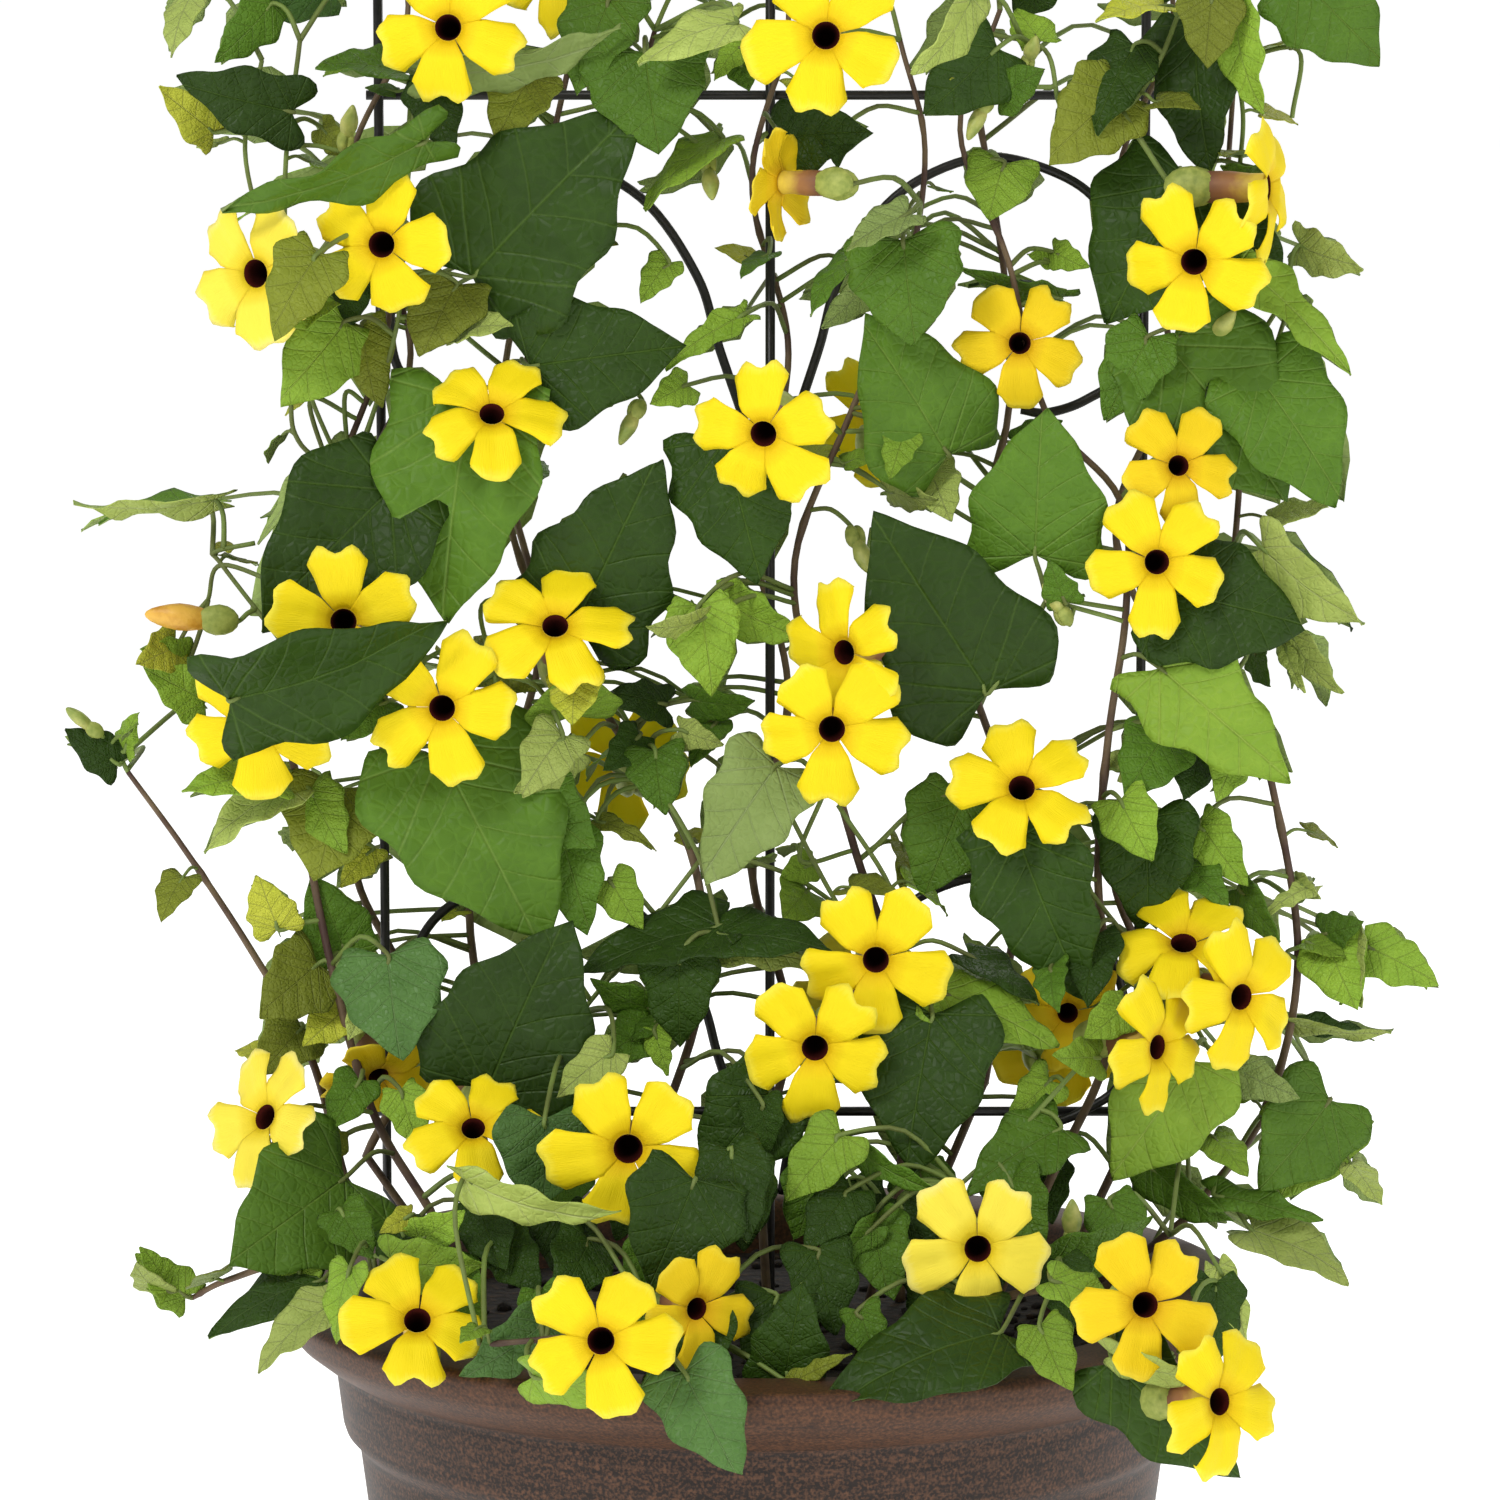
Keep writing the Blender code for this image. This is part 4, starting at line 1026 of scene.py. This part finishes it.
def add_petals(shape, matrix, tone):
    """Adds the five petals of one flower."""
    uv_layer = shape.loops.layers.uv["blade"]
    half_slice = math.pi / PETALS
    for petal in range(PETALS):
        grid = bmesh.ops.create_grid(shape, x_segments=PETAL_CELLS, y_segments=PETAL_CELLS, size=1)
        length = FACE_RADIUS * chance.uniform(0.95, 1.1)
        breadth = chance.uniform(9.4, 11.4)
        notch = chance.uniform(0.8, 2.4)
        lean = chance.uniform(-1.6, 1.6)
        wave, phase = chance.uniform(0.5, 1.3), chance.uniform(0, math.tau)
        reflex = chance.uniform(0.5, 4.5)
        roll_back = chance.uniform(0.6, 2.2)
        spots = {}
        for corner in grid["verts"]:
            share, t = corner.co.x, (corner.co.y + 1) / 2
            radius = EYE_RADIUS + (length - EYE_RADIUS) * t
            joined = min(radius, JOINED_TO) * math.tan(half_slice)
            free = max(0, (radius - JOINED_TO) / (length - JOINED_TO)) ** 1.15
            spread = joined + (breadth - JOINED_TO * math.tan(half_slice)) * free
            spread *= 1 - 0.2 * soft_step((t - 0.72) / 0.28)
            end = notch * math.exp(-((share / 0.4) ** 2)) + 5 * max(0, abs(share) - 0.5) ** 1.5 / 0.35
            end += 0.7 * math.sin(4.3 * share + phase)
            blend = soft_step((radius - 4.5) / 4)
            x = radius * math.sin(share * half_slice) * (1 - blend) + share * spread * blend + lean * t * t
            y = radius * math.cos(share * half_slice) * (1 - blend) + (radius - end * t**5) * blend
            z = -2.3 * (1 - soft_step((radius - EYE_RADIUS) / 4.5)) - reflex * t**2.2
            z += share * 1.3 * soft_step((t - 0.15) / 0.4) + wave * math.sin(2.6 * share + phase) * t
            z -= roll_back * share**4 * soft_step((t - 0.2) / 0.5)
            z -= 1.0 * math.exp(-((share / 0.2) ** 2)) * t * (1 - t) * 2
            spots[corner] = (share, t)
            corner.co = (x, y, z)
        slip = math.radians(chance.uniform(-4, 4))
        turn = Matrix.Rotation(math.tau * petal / PETALS + math.pi + slip, 4, "Z")
        bmesh.ops.transform(shape, matrix=matrix @ turn, verts=grid["verts"])
        for face in {f for corner in grid["verts"] for f in corner.link_faces}:
            face.material_index = PETAL_ORDER.index(tone)
            for loop in face.loops:
                loop[uv_layer].uv = spots[loop.vert]


print("petals a flower:", PETALS, "across:", 2 * FACE_RADIUS, "mm")

# %% [markdown]
# The eye's funnel and the tube behind it are profiles spun round the axis, because both are round all the
# way. Two puffed bracts close the back. Each is a ball, drawn out to a point towards the face.

# %% Throat, tube and bracts
THROAT_PROFILE = ((0, -15), (1.6, -14), (2.4, -9), (3.3, -5), (3.95, -2.2))
TUBE_PROFILE = (
    (3.95, -2.2), (4.4, -3.4), (4.3, -8), (4.9, -14), (4.8, -20), (3.2, -25), (1.6, -29), (0, -29.5),
)
BRACT_FINISH = 2


def spun(shape, profile, matrix, index, steps=20):
    """Adds a profile of (radius, height) points spun round its axis."""
    uv_layer = shape.loops.layers.uv["blade"]
    corners = [shape.verts.new((radius, 0, height)) for radius, height in profile]
    edges = [shape.edges.new(pair) for pair in zip(corners, corners[1:])]
    before = set(shape.faces)
    bmesh.ops.spin(
        shape, geom=corners + edges, cent=(0, 0, 0), axis=(0, 0, 1), angle=math.tau, steps=steps,
        use_merge=True,
    )
    made = [face for face in shape.faces if face not in before]
    verts = list({corner for face in made for corner in face.verts})
    low = min(corner.co.z for corner in verts)
    high = max(corner.co.z for corner in verts)
    for face in made:
        face.material_index = index
        for loop in face.loops:
            loop[uv_layer].uv = (0.5, (high - loop.vert.co.z) / (high - low))
    bmesh.ops.transform(shape, matrix=matrix, verts=verts)


def add_calyx(shape, matrix, scale=1.0):
    """Adds two puffed bracts round the tube's foot."""
    for side in (-1, 1):
        ball = bmesh.ops.create_uvsphere(shape, u_segments=12, v_segments=8, radius=1)
        for corner in ball["verts"]:
            x, y, z = corner.co
            point = max(0, z) ** 2
            across = side * 2.4 + x * 3.6 * (1 - 0.25 * point)
            corner.co = (across, y * 6.2 * (1 - 0.45 * point), -25 + z * 8.5 + point * 1.5)
        bmesh.ops.transform(shape, matrix=matrix @ Matrix.Scale(scale, 4), verts=ball["verts"])
        for face in {f for corner in ball["verts"] for f in corner.link_faces}:
            face.material_index = BRACT_FINISH


print("a flower is", -TUBE_PROFILE[-1][1], "mm deep from its face to its tube's foot")

# %% [markdown]
# A group of flowers is one mesh of petals, one of tubes and bracts, and one of pedicels, each of which
# leads to the nearest stem.

# %% Groups of flowers
HEEL_MM, STALK_AIM_MM = 31, 44
MOST_SPIN = 12
PETAL_WALL_MM = 0.3


def stalk_run(matrix, thick):
    """The run of a pedicel, which meets the bracts along the flower's axis."""
    heel = matrix @ Vector((0, 0, -HEEL_MM))
    along = (heel - matrix @ Vector((0, 0, -STALK_AIM_MM))).normalized()
    return petiole_run(heel, along, thick)


def flower_group(name, rows, nodes=()):
    """A group of flowers. A row is eye (u, v), depth, facing, size, tone and perhaps a turn in degrees."""
    faces, backs, runs = leaf_layers(), leaf_layers(), []
    for u, v, depth, facing, size, tone, *turned in rows:
        spin = math.radians(chance.uniform(-MOST_SPIN, MOST_SPIN) + (turned[0] if turned else 0))
        matrix = flower_frame(sight(u, v, depth), facing, spin, size)
        add_petals(faces, matrix, tone)
        spun(backs, THROAT_PROFILE, matrix, 0)
        spun(backs, TUBE_PROFILE, matrix, 1)
        add_calyx(backs, matrix)
        runs.append(stalk_run(matrix, 1.15))
    bmesh.ops.remove_doubles(backs, verts=backs.verts, dist=0.01 * MM)
    bmesh.ops.recalc_face_normals(backs, faces=backs.faces)
    finishes = list(PETAL_TONES.values())
    finish_piece(f"petals_{name}", to_mesh(name, faces), finishes, nodes, PETAL_WALL_MM)
    finish_piece(f"calyx_{name}", to_mesh(name, backs), [THROAT, TUBE_SKIN, BRACT_SKIN])
    finish_piece(f"pedicels_{name}", tubes(name, runs, 1), [YOUNG_BARK])
    return len(rows)


print("a pedicel starts", HEEL_MM, "mm behind the face")

# %% [markdown]
# ## The flowers
# Each row gives the pixel of the eye, its depth, the direction in which the flower looks, its size against
# a 44 mm flower, and its tone. Flowers that look at the viewer have a direction along -Y. A flower hangs
# with one petal straight down, unless its row ends with how many degrees it's turned.

# %% Flowers
FLOWERS_TOP = (
    (447, 27, -52, (-0.1, -1, 0.1), 1.0, "yellow"), (826, 35, -56, (0, -1, 0.1), 1.05, "yellow"),
    (251, 274, -50, (-0.5, -0.85, 0), 1.08, "pale"), (380, 245, -52, (-0.15, -1, 0), 1.0, "yellow", 30),
    (1275, 188, -40, (0.95, -0.3, 0), 1.0, "yellow"), (1193, 263, -52, (-0.2, -1, -0.1), 1.0, "yellow"),
    (1020, 343, -30, (0, -1, 0.1), 0.85, "golden"), (492, 410, -50, (0.05, -0.75, 0.6), 0.95, "yellow"),
    (762, 436, -62, (-0.2, -1, -0.2), 1.0, "yellow", 36), (1158, 562, -50, (0.1, -1, 0.1), 0.95, "yellow"),
    (776, 182, -34, (-0.85, 0.45, 0), 0.8, "golden"),
)
FLOWERS_MIDDLE = (
    (343, 622, -66, (0, -1, 0.1), 1.0, "yellow", 36), (555, 622, -54, (0, -0.75, 0.6), 1.0, "yellow", 30),
    (840, 653, -60, (-0.6, -0.8, 0), 0.95, "yellow", 36), (832, 730, -70, (0, -1, 0), 1.0, "yellow"),
    (256, 726, -52, (-0.2, -1, 0), 1.0, "yellow"), (441, 709, -62, (-0.1, -1, 0), 1.0, "yellow"),
    (1022, 785, -60, (0, -0.85, 0.5), 1.0, "yellow", 36), (876, 961, -76, (0, -1, 0), 1.0, "yellow"),
    (815, 1050, -88, (0, -1, -0.1), 1.0, "yellow"), (1184, 938, -50, (0, -0.6, 0.8), 1.0, "yellow"),
    (1246, 998, -60, (0.55, -0.8, 0), 1.0, "yellow"), (1163, 1048, -72, (0.7, -0.6, 0), 0.95, "yellow"),
    (1068, 1014, -44, (0, -1, 0), 0.8, "golden"), (1180, 465, -40, (0.2, -1, 0.2), 0.8, "golden"),
)
FLOWERS_LOW = (
    (260, 1115, -60, (-0.62, -0.65, 0.4), 1.0, "pale"), (473, 1125, -90, (0, -0.75, 0.65), 0.9, "yellow"),
    (628, 1150, -110, (0, -1, 0.05), 1.1, "yellow"), (417, 1317, -128, (0, -0.75, 0.6), 1.0, "yellow"),
    (600, 1341, -172, (-0.1, -1, 0.2), 1.0, "yellow"), (700, 1310, -130, (0.5, -0.8, 0), 0.85, "golden"),
    (978, 1250, -120, (0, -1, 0.05), 1.0, "pale"), (1147, 1305, -160, (0.2, -1, 0.2), 0.95, "golden"),
    (1225, 1402, -164, (0.64, -0.74, 0.14), 1.0, "yellow"),
    (380, 1080, -30, (0.3, -0.8, -0.6), 0.8, "golden"),
)
FLOWERS_BACK = (
    (620, 760, 124, (-0.2, 1, 0.1), 1.0, "yellow"), (880, 420, 112, (0.1, 1, 0.2), 1.0, "yellow"),
    (460, 1080, 122, (-0.3, 1, 0.1), 1.0, "yellow"), (1060, 1040, 126, (0.3, 1, 0), 1.0, "golden"),
    (930, 600, 112, (0.4, 1, 0.2), 0.95, "yellow"), (545, 200, 104, (-0.3, 1, 0.3), 1.0, "yellow"),
    (850, 990, 120, (0, 1, 0.1), 1.0, "pale"), (760, -180, -20, (0, -0.8, 0.7), 1.0, "yellow"),
    (560, -40, -10, (-0.4, -0.8, 0.3), 1.0, "yellow"), (980, -90, -6, (0.4, -0.8, 0.3), 1.0, "golden"),
)
print("top flowers:", flower_group("top", FLOWERS_TOP, [
    "flower_top_left", "flower_top_middle", "flower_upper_right", "flower_middle",
]))
print("middle flowers:", flower_group("middle", FLOWERS_MIDDLE, [
    "flower_centre", "flower_left_middle", "flower_low_centre", "flower_right_low",
]))
print("low flowers:", flower_group("low", FLOWERS_LOW, [
    "flower_low_left", "flower_rim_left", "flower_rim_right",
]))
print("back flowers:", flower_group("back", FLOWERS_BACK, [
    "flower_back_left", "flower_back_right", "flower_crown",
]))

# %% [markdown]
# ## Sprigs
# Young leaves stand out from every stem, all the way up. None grows near the eye of a flower.

# %% Sprigs
EYE_CLEARANCE = 26 * MM
EYES = [sight(*row[:3]) for row in FLOWERS_TOP + FLOWERS_MIDDLE + FLOWERS_LOW + FLOWERS_BACK]
SPRIG_EVERY = 5
SPRIG_LEAF_MM = (9, 20)
SPRIG_GAP_MM = (5, 14)
SPRIG_WIDTH, SPRIG_WALL_MM, SPRIG_STALK = 0.8, 0.3, 0.7
SPRIG_TONES = ("bright", "bright", "mid", "olive", "light", "lime")


def build_sprigs():
    """Small young leaves that stand out from the stems and shoots all the way up."""
    shape = leaf_layers()
    runs = []
    for path in FOOTHOLDS:
        for index in range(3, len(path) - 1, SPRIG_EVERY):
            angle = chance.uniform(0, math.tau)
            out = Vector((math.cos(angle), math.sin(angle), chance.uniform(-0.2, 0.7))).normalized()
            base = path[index] + out * chance.uniform(*SPRIG_GAP_MM) * MM
            droop = Vector((0, 0, chance.uniform(-0.9, 0.3)))
            tip = base + (out + droop).normalized() * chance.uniform(*SPRIG_LEAF_MM) * MM
            toward = Vector((0.4 * out.x, 0.4 * out.y - 0.5, 1)).normalized()
            if min(((base + tip) / 2 - eye).length for eye in EYES) < EYE_CLEARANCE:
                continue
            tone = chance.choice(SPRIG_TONES)
            along = place_leaf(shape, base, tip, SPRIG_WIDTH, 0, tone, False, toward)
            runs.append(petiole_run(base, along, SPRIG_STALK))
    mesh = to_mesh("sprigs", shape)
    finish_piece("sprigs", mesh, LEAF_FINISHES, (), SPRIG_WALL_MM, len(LEAF_TONES))
    finish_piece("sprigs_petioles", tubes("sprigs", runs, 1), [YOUNG_BARK])
    return len(runs)


print("sprigs:", build_sprigs())

# %% [markdown]
# ## Buds
# A closed bud is a pointed, twisted cone of petals that stands out of its bracts, orange when it's ripe and
# green before. It's a sphere drawn out to a point, on the same bracts as a flower. Each row gives the bud's
# pixel, depth, direction and size.

# %% Buds
BUDS = (
    (155, 615, -30, (-0.95, -0.2, 0.1), 0.8), (1072, 1205, -90, (0, -0.2, 1), 0.5),
    (1046, 588, -44, (-0.5, -0.3, 0.8), 0.45), (622, 440, -30, (-0.4, -0.4, -0.8), 0.45),
    (712, 195, -26, (0.1, -0.5, -0.8), 0.45), (352, 110, -24, (0.2, -0.4, 0.8), 0.45),
    (868, 568, -40, (0.3, -0.6, -0.7), 0.5), (970, 135, -30, (-0.4, -0.3, -0.8), 0.45),
    (1232, 315, -26, (0.4, -0.5, 0.6), 0.5), (70, 711, -16, (-0.7, -0.2, 0.6), 0.4),
    (1035, 40, -30, (0.2, -0.6, 0.7), 0.4),
)
RIPE_FROM = 0.7


def build_buds():
    """All the buds, each on its bracts and pedicel."""
    shape, runs = leaf_layers(), []
    for u, v, depth, facing, size in BUDS:
        matrix = flower_frame(sight(u, v, depth), facing, 0, size)
        ball = bmesh.ops.create_uvsphere(shape, u_segments=12, v_segments=10, radius=1)
        for corner in ball["verts"]:
            x, y, z = corner.co
            pinch = 1 - 0.35 * max(0, z)
            drawn_out = Vector((x * 6.2 * pinch, y * 5.2 * pinch, -9 + z * 13))
            corner.co = Matrix.Rotation(z * 1.2, 3, "Z") @ drawn_out
        bmesh.ops.transform(shape, matrix=matrix, verts=ball["verts"])
        for face in {f for corner in ball["verts"] for f in corner.link_faces}:
            face.material_index = 0 if size > RIPE_FROM else 1
        add_calyx(shape, matrix, 0.95)
        runs.append(stalk_run(matrix, 1.0))
    finish_piece("buds", to_mesh("buds", shape), [BUD_SKIN, GREEN_BUD_SKIN, BRACT_SKIN])
    finish_piece("bud_stalks", tubes("bud_stalks", runs, 1), [YOUNG_BARK])
    return len(BUDS)


print("buds:", build_buds())

# %% [markdown]
# ## The pot
# The CAD pot is right in size, but its sides show as flats. The pot that the eye sees is the same profile
# with softened corners, spun round the axis in fine steps, and its five drain holes are cut with a Boolean.

# %% Pot
POT_STEPS = 144
POT_PROFILE = (
    (0, 4), (88, 4), (94, 4.6), (95.4, 6.5), (121.6, 202), (122, 205), (122.4, 240), (123.6, 245),
    (126, 248.6), (129, 250), (146.5, 250), (148.8, 249.4), (149.9, 247.8), (149.8, 246), (148.2, 241),
    (145, 237.2), (138.6, 232.2), (135, 230), (132.8, 228.6), (132.3, 226.5), (130.1, 209), (129.4, 206.8),
    (127, 204.2), (125.2, 202), (124.8, 199.5), (99.3, 4.2), (98.6, 1.6), (96.5, 0.2), (94, 0), (0, 0),
)
DRAIN_COUNT, DRAIN_RING, DRAIN_RADIUS = 5, 62, 6


def drain_cutters():
    """Five short cylinders where the drain holes go."""
    shape = bmesh.new()
    for drain in range(DRAIN_COUNT):
        turn = Matrix.Rotation(math.tau * drain / DRAIN_COUNT, 4, "Z")
        bmesh.ops.create_cone(
            shape, cap_ends=True, segments=24, radius1=DRAIN_RADIUS * MM, radius2=DRAIN_RADIUS * MM,
            depth=16 * MM, matrix=turn @ Matrix.Translation((DRAIN_RING * MM, 0, 2 * MM)),
        )
    cutter = bpy.data.objects.new("drain_cutter", to_mesh("drain_cutter", shape))
    bpy.context.collection.objects.link(cutter)
    return cutter


def build_pot():
    """The spun pot with its drain holes, in place of the CAD pot."""
    shape = leaf_layers()
    spun(shape, POT_PROFILE, Matrix.Scale(MM, 4), 0, POT_STEPS)
    bmesh.ops.remove_doubles(shape, verts=shape.verts, dist=0.01 * MM)
    bmesh.ops.recalc_face_normals(shape, faces=shape.faces)
    draft = bpy.data.objects.new("pot_draft", to_mesh("pot_draft", shape))
    bpy.context.collection.objects.link(draft)
    cutter = drain_cutters()
    cut = draft.modifiers.new("drains", "BOOLEAN")
    cut.object = cutter
    bpy.context.view_layer.update()
    mesh = bpy.data.meshes.new_from_object(draft.evaluated_get(bpy.context.evaluated_depsgraph_get()))
    bpy.data.objects.remove(draft, do_unlink=True)
    bpy.data.objects.remove(cutter, do_unlink=True)
    mesh.materials.clear()
    finish_piece("bronze_pot", mesh, [POT_FINISH], ["pot"])
    return len(mesh.polygons)


print("pot faces:", build_pot())

# %% [markdown]
# ## The trellis
# Three uprights, two crossbars, two pairs of scrolls and an arched top are bent from 3 mm wire and spot
# welded. The curves follow the CAD wires through the same points, only in finer steps, and a small bead of
# weld joins each crossbar to each upright.

# %% Trellis
WIRE_RADIUS = 1.5 * MM
BEAD_RADII = (1.0 * MM, 1.8 * MM, 1.0 * MM)
BAR_OVERHANG = 4 * MM
LEG_X, LEG_END = 90.56 * MM, 60 * MM
SCROLL_TOPS = (374.4 * MM, 597 * MM)
# The scroll's route is drawn in millimetres, in a bay that is this wide, and then fitted to each real bay.
BAY = 114.5
SCROLL_ROUTE = (
    (3.7, -100), (6.0, -86), (15, -58), (21.5, -36), (38, -12), (63, 0), (86, -4), (102, -16), (110.9, -42),
    (109.5, -64), (97, -74), (85, -78), (77, -77),
)


def wire(points):
    """The run of one wire of even thickness."""
    return points, [WIRE_RADIUS] * len(points)


def upright_path(side, x):
    """One upright. The outer two jog inwards at the soil, to clear the pot's wall."""
    foot_x = x if side == "middle" else math.copysign(LEG_X, x)
    top = ARCH_TOP - 3.3 * MM if side == "middle" else ARCH_FOOT
    heights = ((foot_x, LEG_END), (foot_x, SOIL_TOP + 4 * MM), (x, SOIL_TOP + 44 * MM), (x, top))
    return [Vector((across, TRELLIS_DEPTH, height)) for across, height in heights]


def build_trellis():
    """All the wires and their welds, in place of the CAD wires."""
    bar_depth = TRELLIS_DEPTH + 2 * WIRE_RADIUS + SEAT_GAP
    middle = UPRIGHTS["middle"]
    runs = [wire(upright_path(side, x)) for side, x in UPRIGHTS.items()]
    for height in (LOWER_BAR, UPPER_BAR):
        ends = (UPRIGHTS["left"] - BAR_OVERHANG, UPRIGHTS["right"] + BAR_OVERHANG)
        runs.append(wire([Vector((x, bar_depth, height)) for x in ends]))
        for x in UPRIGHTS.values():
            depths = (TRELLIS_DEPTH, (TRELLIS_DEPTH + bar_depth) / 2, bar_depth)
            runs.append(([Vector((x, depth, height)) for depth in depths], BEAD_RADII))
    for top in SCROLL_TOPS:
        for side in ("left", "right"):
            bay = UPRIGHTS[side] - middle
            route = []
            for across, down in SCROLL_ROUTE:
                route.append(Vector((middle + bay * across / BAY, TRELLIS_DEPTH, top + down * MM)))
            runs.append(wire(smooth_path(route, STEPS)))
    runs.append(wire(arch_path(0, math.pi)))
    nodes = [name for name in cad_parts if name.startswith("trellis")]
    finish_piece("trellis_wires", tubes("trellis_wires", runs, 3), [WIRE_FINISH], nodes)
    return len(runs)


print("wires and welds:", build_trellis())

# %% [markdown]
# ## The soil
# The CAD soil keeps its shape and gets its peat finish. Crumbs and bark fines lie on it.

# %% Soil
CRUMBS = 420
CRUMB_REACH = 118 * MM
CRUMB_SIZES_MM = (1.2, 4.5)


def build_crumbs():
    """Lumps of peat and bark on the soil."""
    shape = bmesh.new()
    for _ in range(CRUMBS):
        angle, reach = chance.uniform(0, math.tau), CRUMB_REACH * math.sqrt(chance.random())
        size = chance.uniform(*CRUMB_SIZES_MM)
        ball = bmesh.ops.create_icosphere(shape, subdivisions=1, radius=1)
        for corner in ball["verts"]:
            corner.co *= 1 + 0.4 * noise.noise(corner.co * 1.7 + Vector((angle, reach * 100, size)))
        place = Vector((reach * math.cos(angle), reach * math.sin(angle), SOIL_TOP + 0.15 * size * MM))
        turn = Matrix.Rotation(angle * 3, 4, "Z")
        flat = Matrix.Diagonal((size * MM, size * MM * 0.7, size * MM * 0.5, 1))
        bmesh.ops.transform(shape, matrix=Matrix.Translation(place) @ turn @ flat, verts=ball["verts"])
    finish_piece("peat_crumbs", to_mesh("peat_crumbs", shape), [PEAT])


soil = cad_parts["soil"].data
soil.materials.clear()
soil.materials.append(PEAT)
build_crumbs()
print("soil finish:", PEAT.name, "crumbs:", CRUMBS)

# %% [markdown]
# ## Stage and light
# A very large white floor fills the view, because the camera looks down and never sees the horizon. A broad
# soft light from the upper left gives the leaves their shape, a weaker one fills from the right, and a
# third lights the edges from behind. The sky lights the plant at half strength, but the camera sees it pure
# white.

# %% Floor and lights
# The floor goes on for 90 metres each way, so its edge lies outside the view.
FLOOR_HALF = 90
FLOOR_GLOW = 0.56
SKY_LIGHT, SKY_SEEN = 0.5, 1.05


def build_floor():
    """The white floor, which glows a little so that it stays white up to its far end."""
    material, shader = new_finish("matte_white_floor", Roughness=0.9, Emission_Color="#FFFFFF")
    place = add_node(material, PLACE).outputs["Object"]
    patches = add_node(material, NOISE, {"Vector": place, "Scale": per_metre(600), "Detail": 3})
    paint = add_node(material, RAMP, {"Fac": patches}, ((0.3, "#F4F4F2"), (0.7, "#FAFAF8")))
    fill_inputs(material, shader, {"Base Color": paint, "Emission Strength": FLOOR_GLOW})
    shape = bmesh.new()
    bmesh.ops.create_grid(shape, x_segments=4, y_segments=4, size=FLOOR_HALF)
    mesh = to_mesh("floor", shape)
    mesh.materials.append(material)
    floor = bpy.data.objects.new("floor", mesh)
    bpy.context.collection.objects.link(floor)


def add_light(name, place, size, watts):
    """A square soft light that looks at the plant."""
    lamp = bpy.data.lights.new(name, "AREA")
    lamp.size = size
    lamp.energy = watts
    light = bpy.data.objects.new(name, lamp)
    light.location = place
    light.rotation_euler = (VIEW_TARGET - Vector(place)).to_track_quat("-Z", "Y").to_euler()
    bpy.context.collection.objects.link(light)


def white_sky():
    """A plain sky, brighter to the camera than to the plant."""
    world = bpy.data.worlds.new("white_sky")
    bpy.context.scene.world = world
    world.use_nodes = True
    seen = add_node(world, "ShaderNodeLightPath").outputs["Is Camera Ray"]
    strength = add_node(world, RANGE, {"Value": seen, "To Min": SKY_LIGHT, "To Max": SKY_SEEN})
    sky = world.node_tree.nodes["Background"]
    fill_inputs(world, sky, {"Color": "#FFFFFF", "Strength": strength})


build_floor()
add_light("key", (-1.3, -1.9, 2.3), 0.8, 36)
add_light("fill", (1.9, -1.6, 1.0), 1.4, 8)
add_light("back", (0.9, 2.2, 2.0), 1.4, 22)
white_sky()
bpy.context.scene.view_settings.view_transform = "Standard"
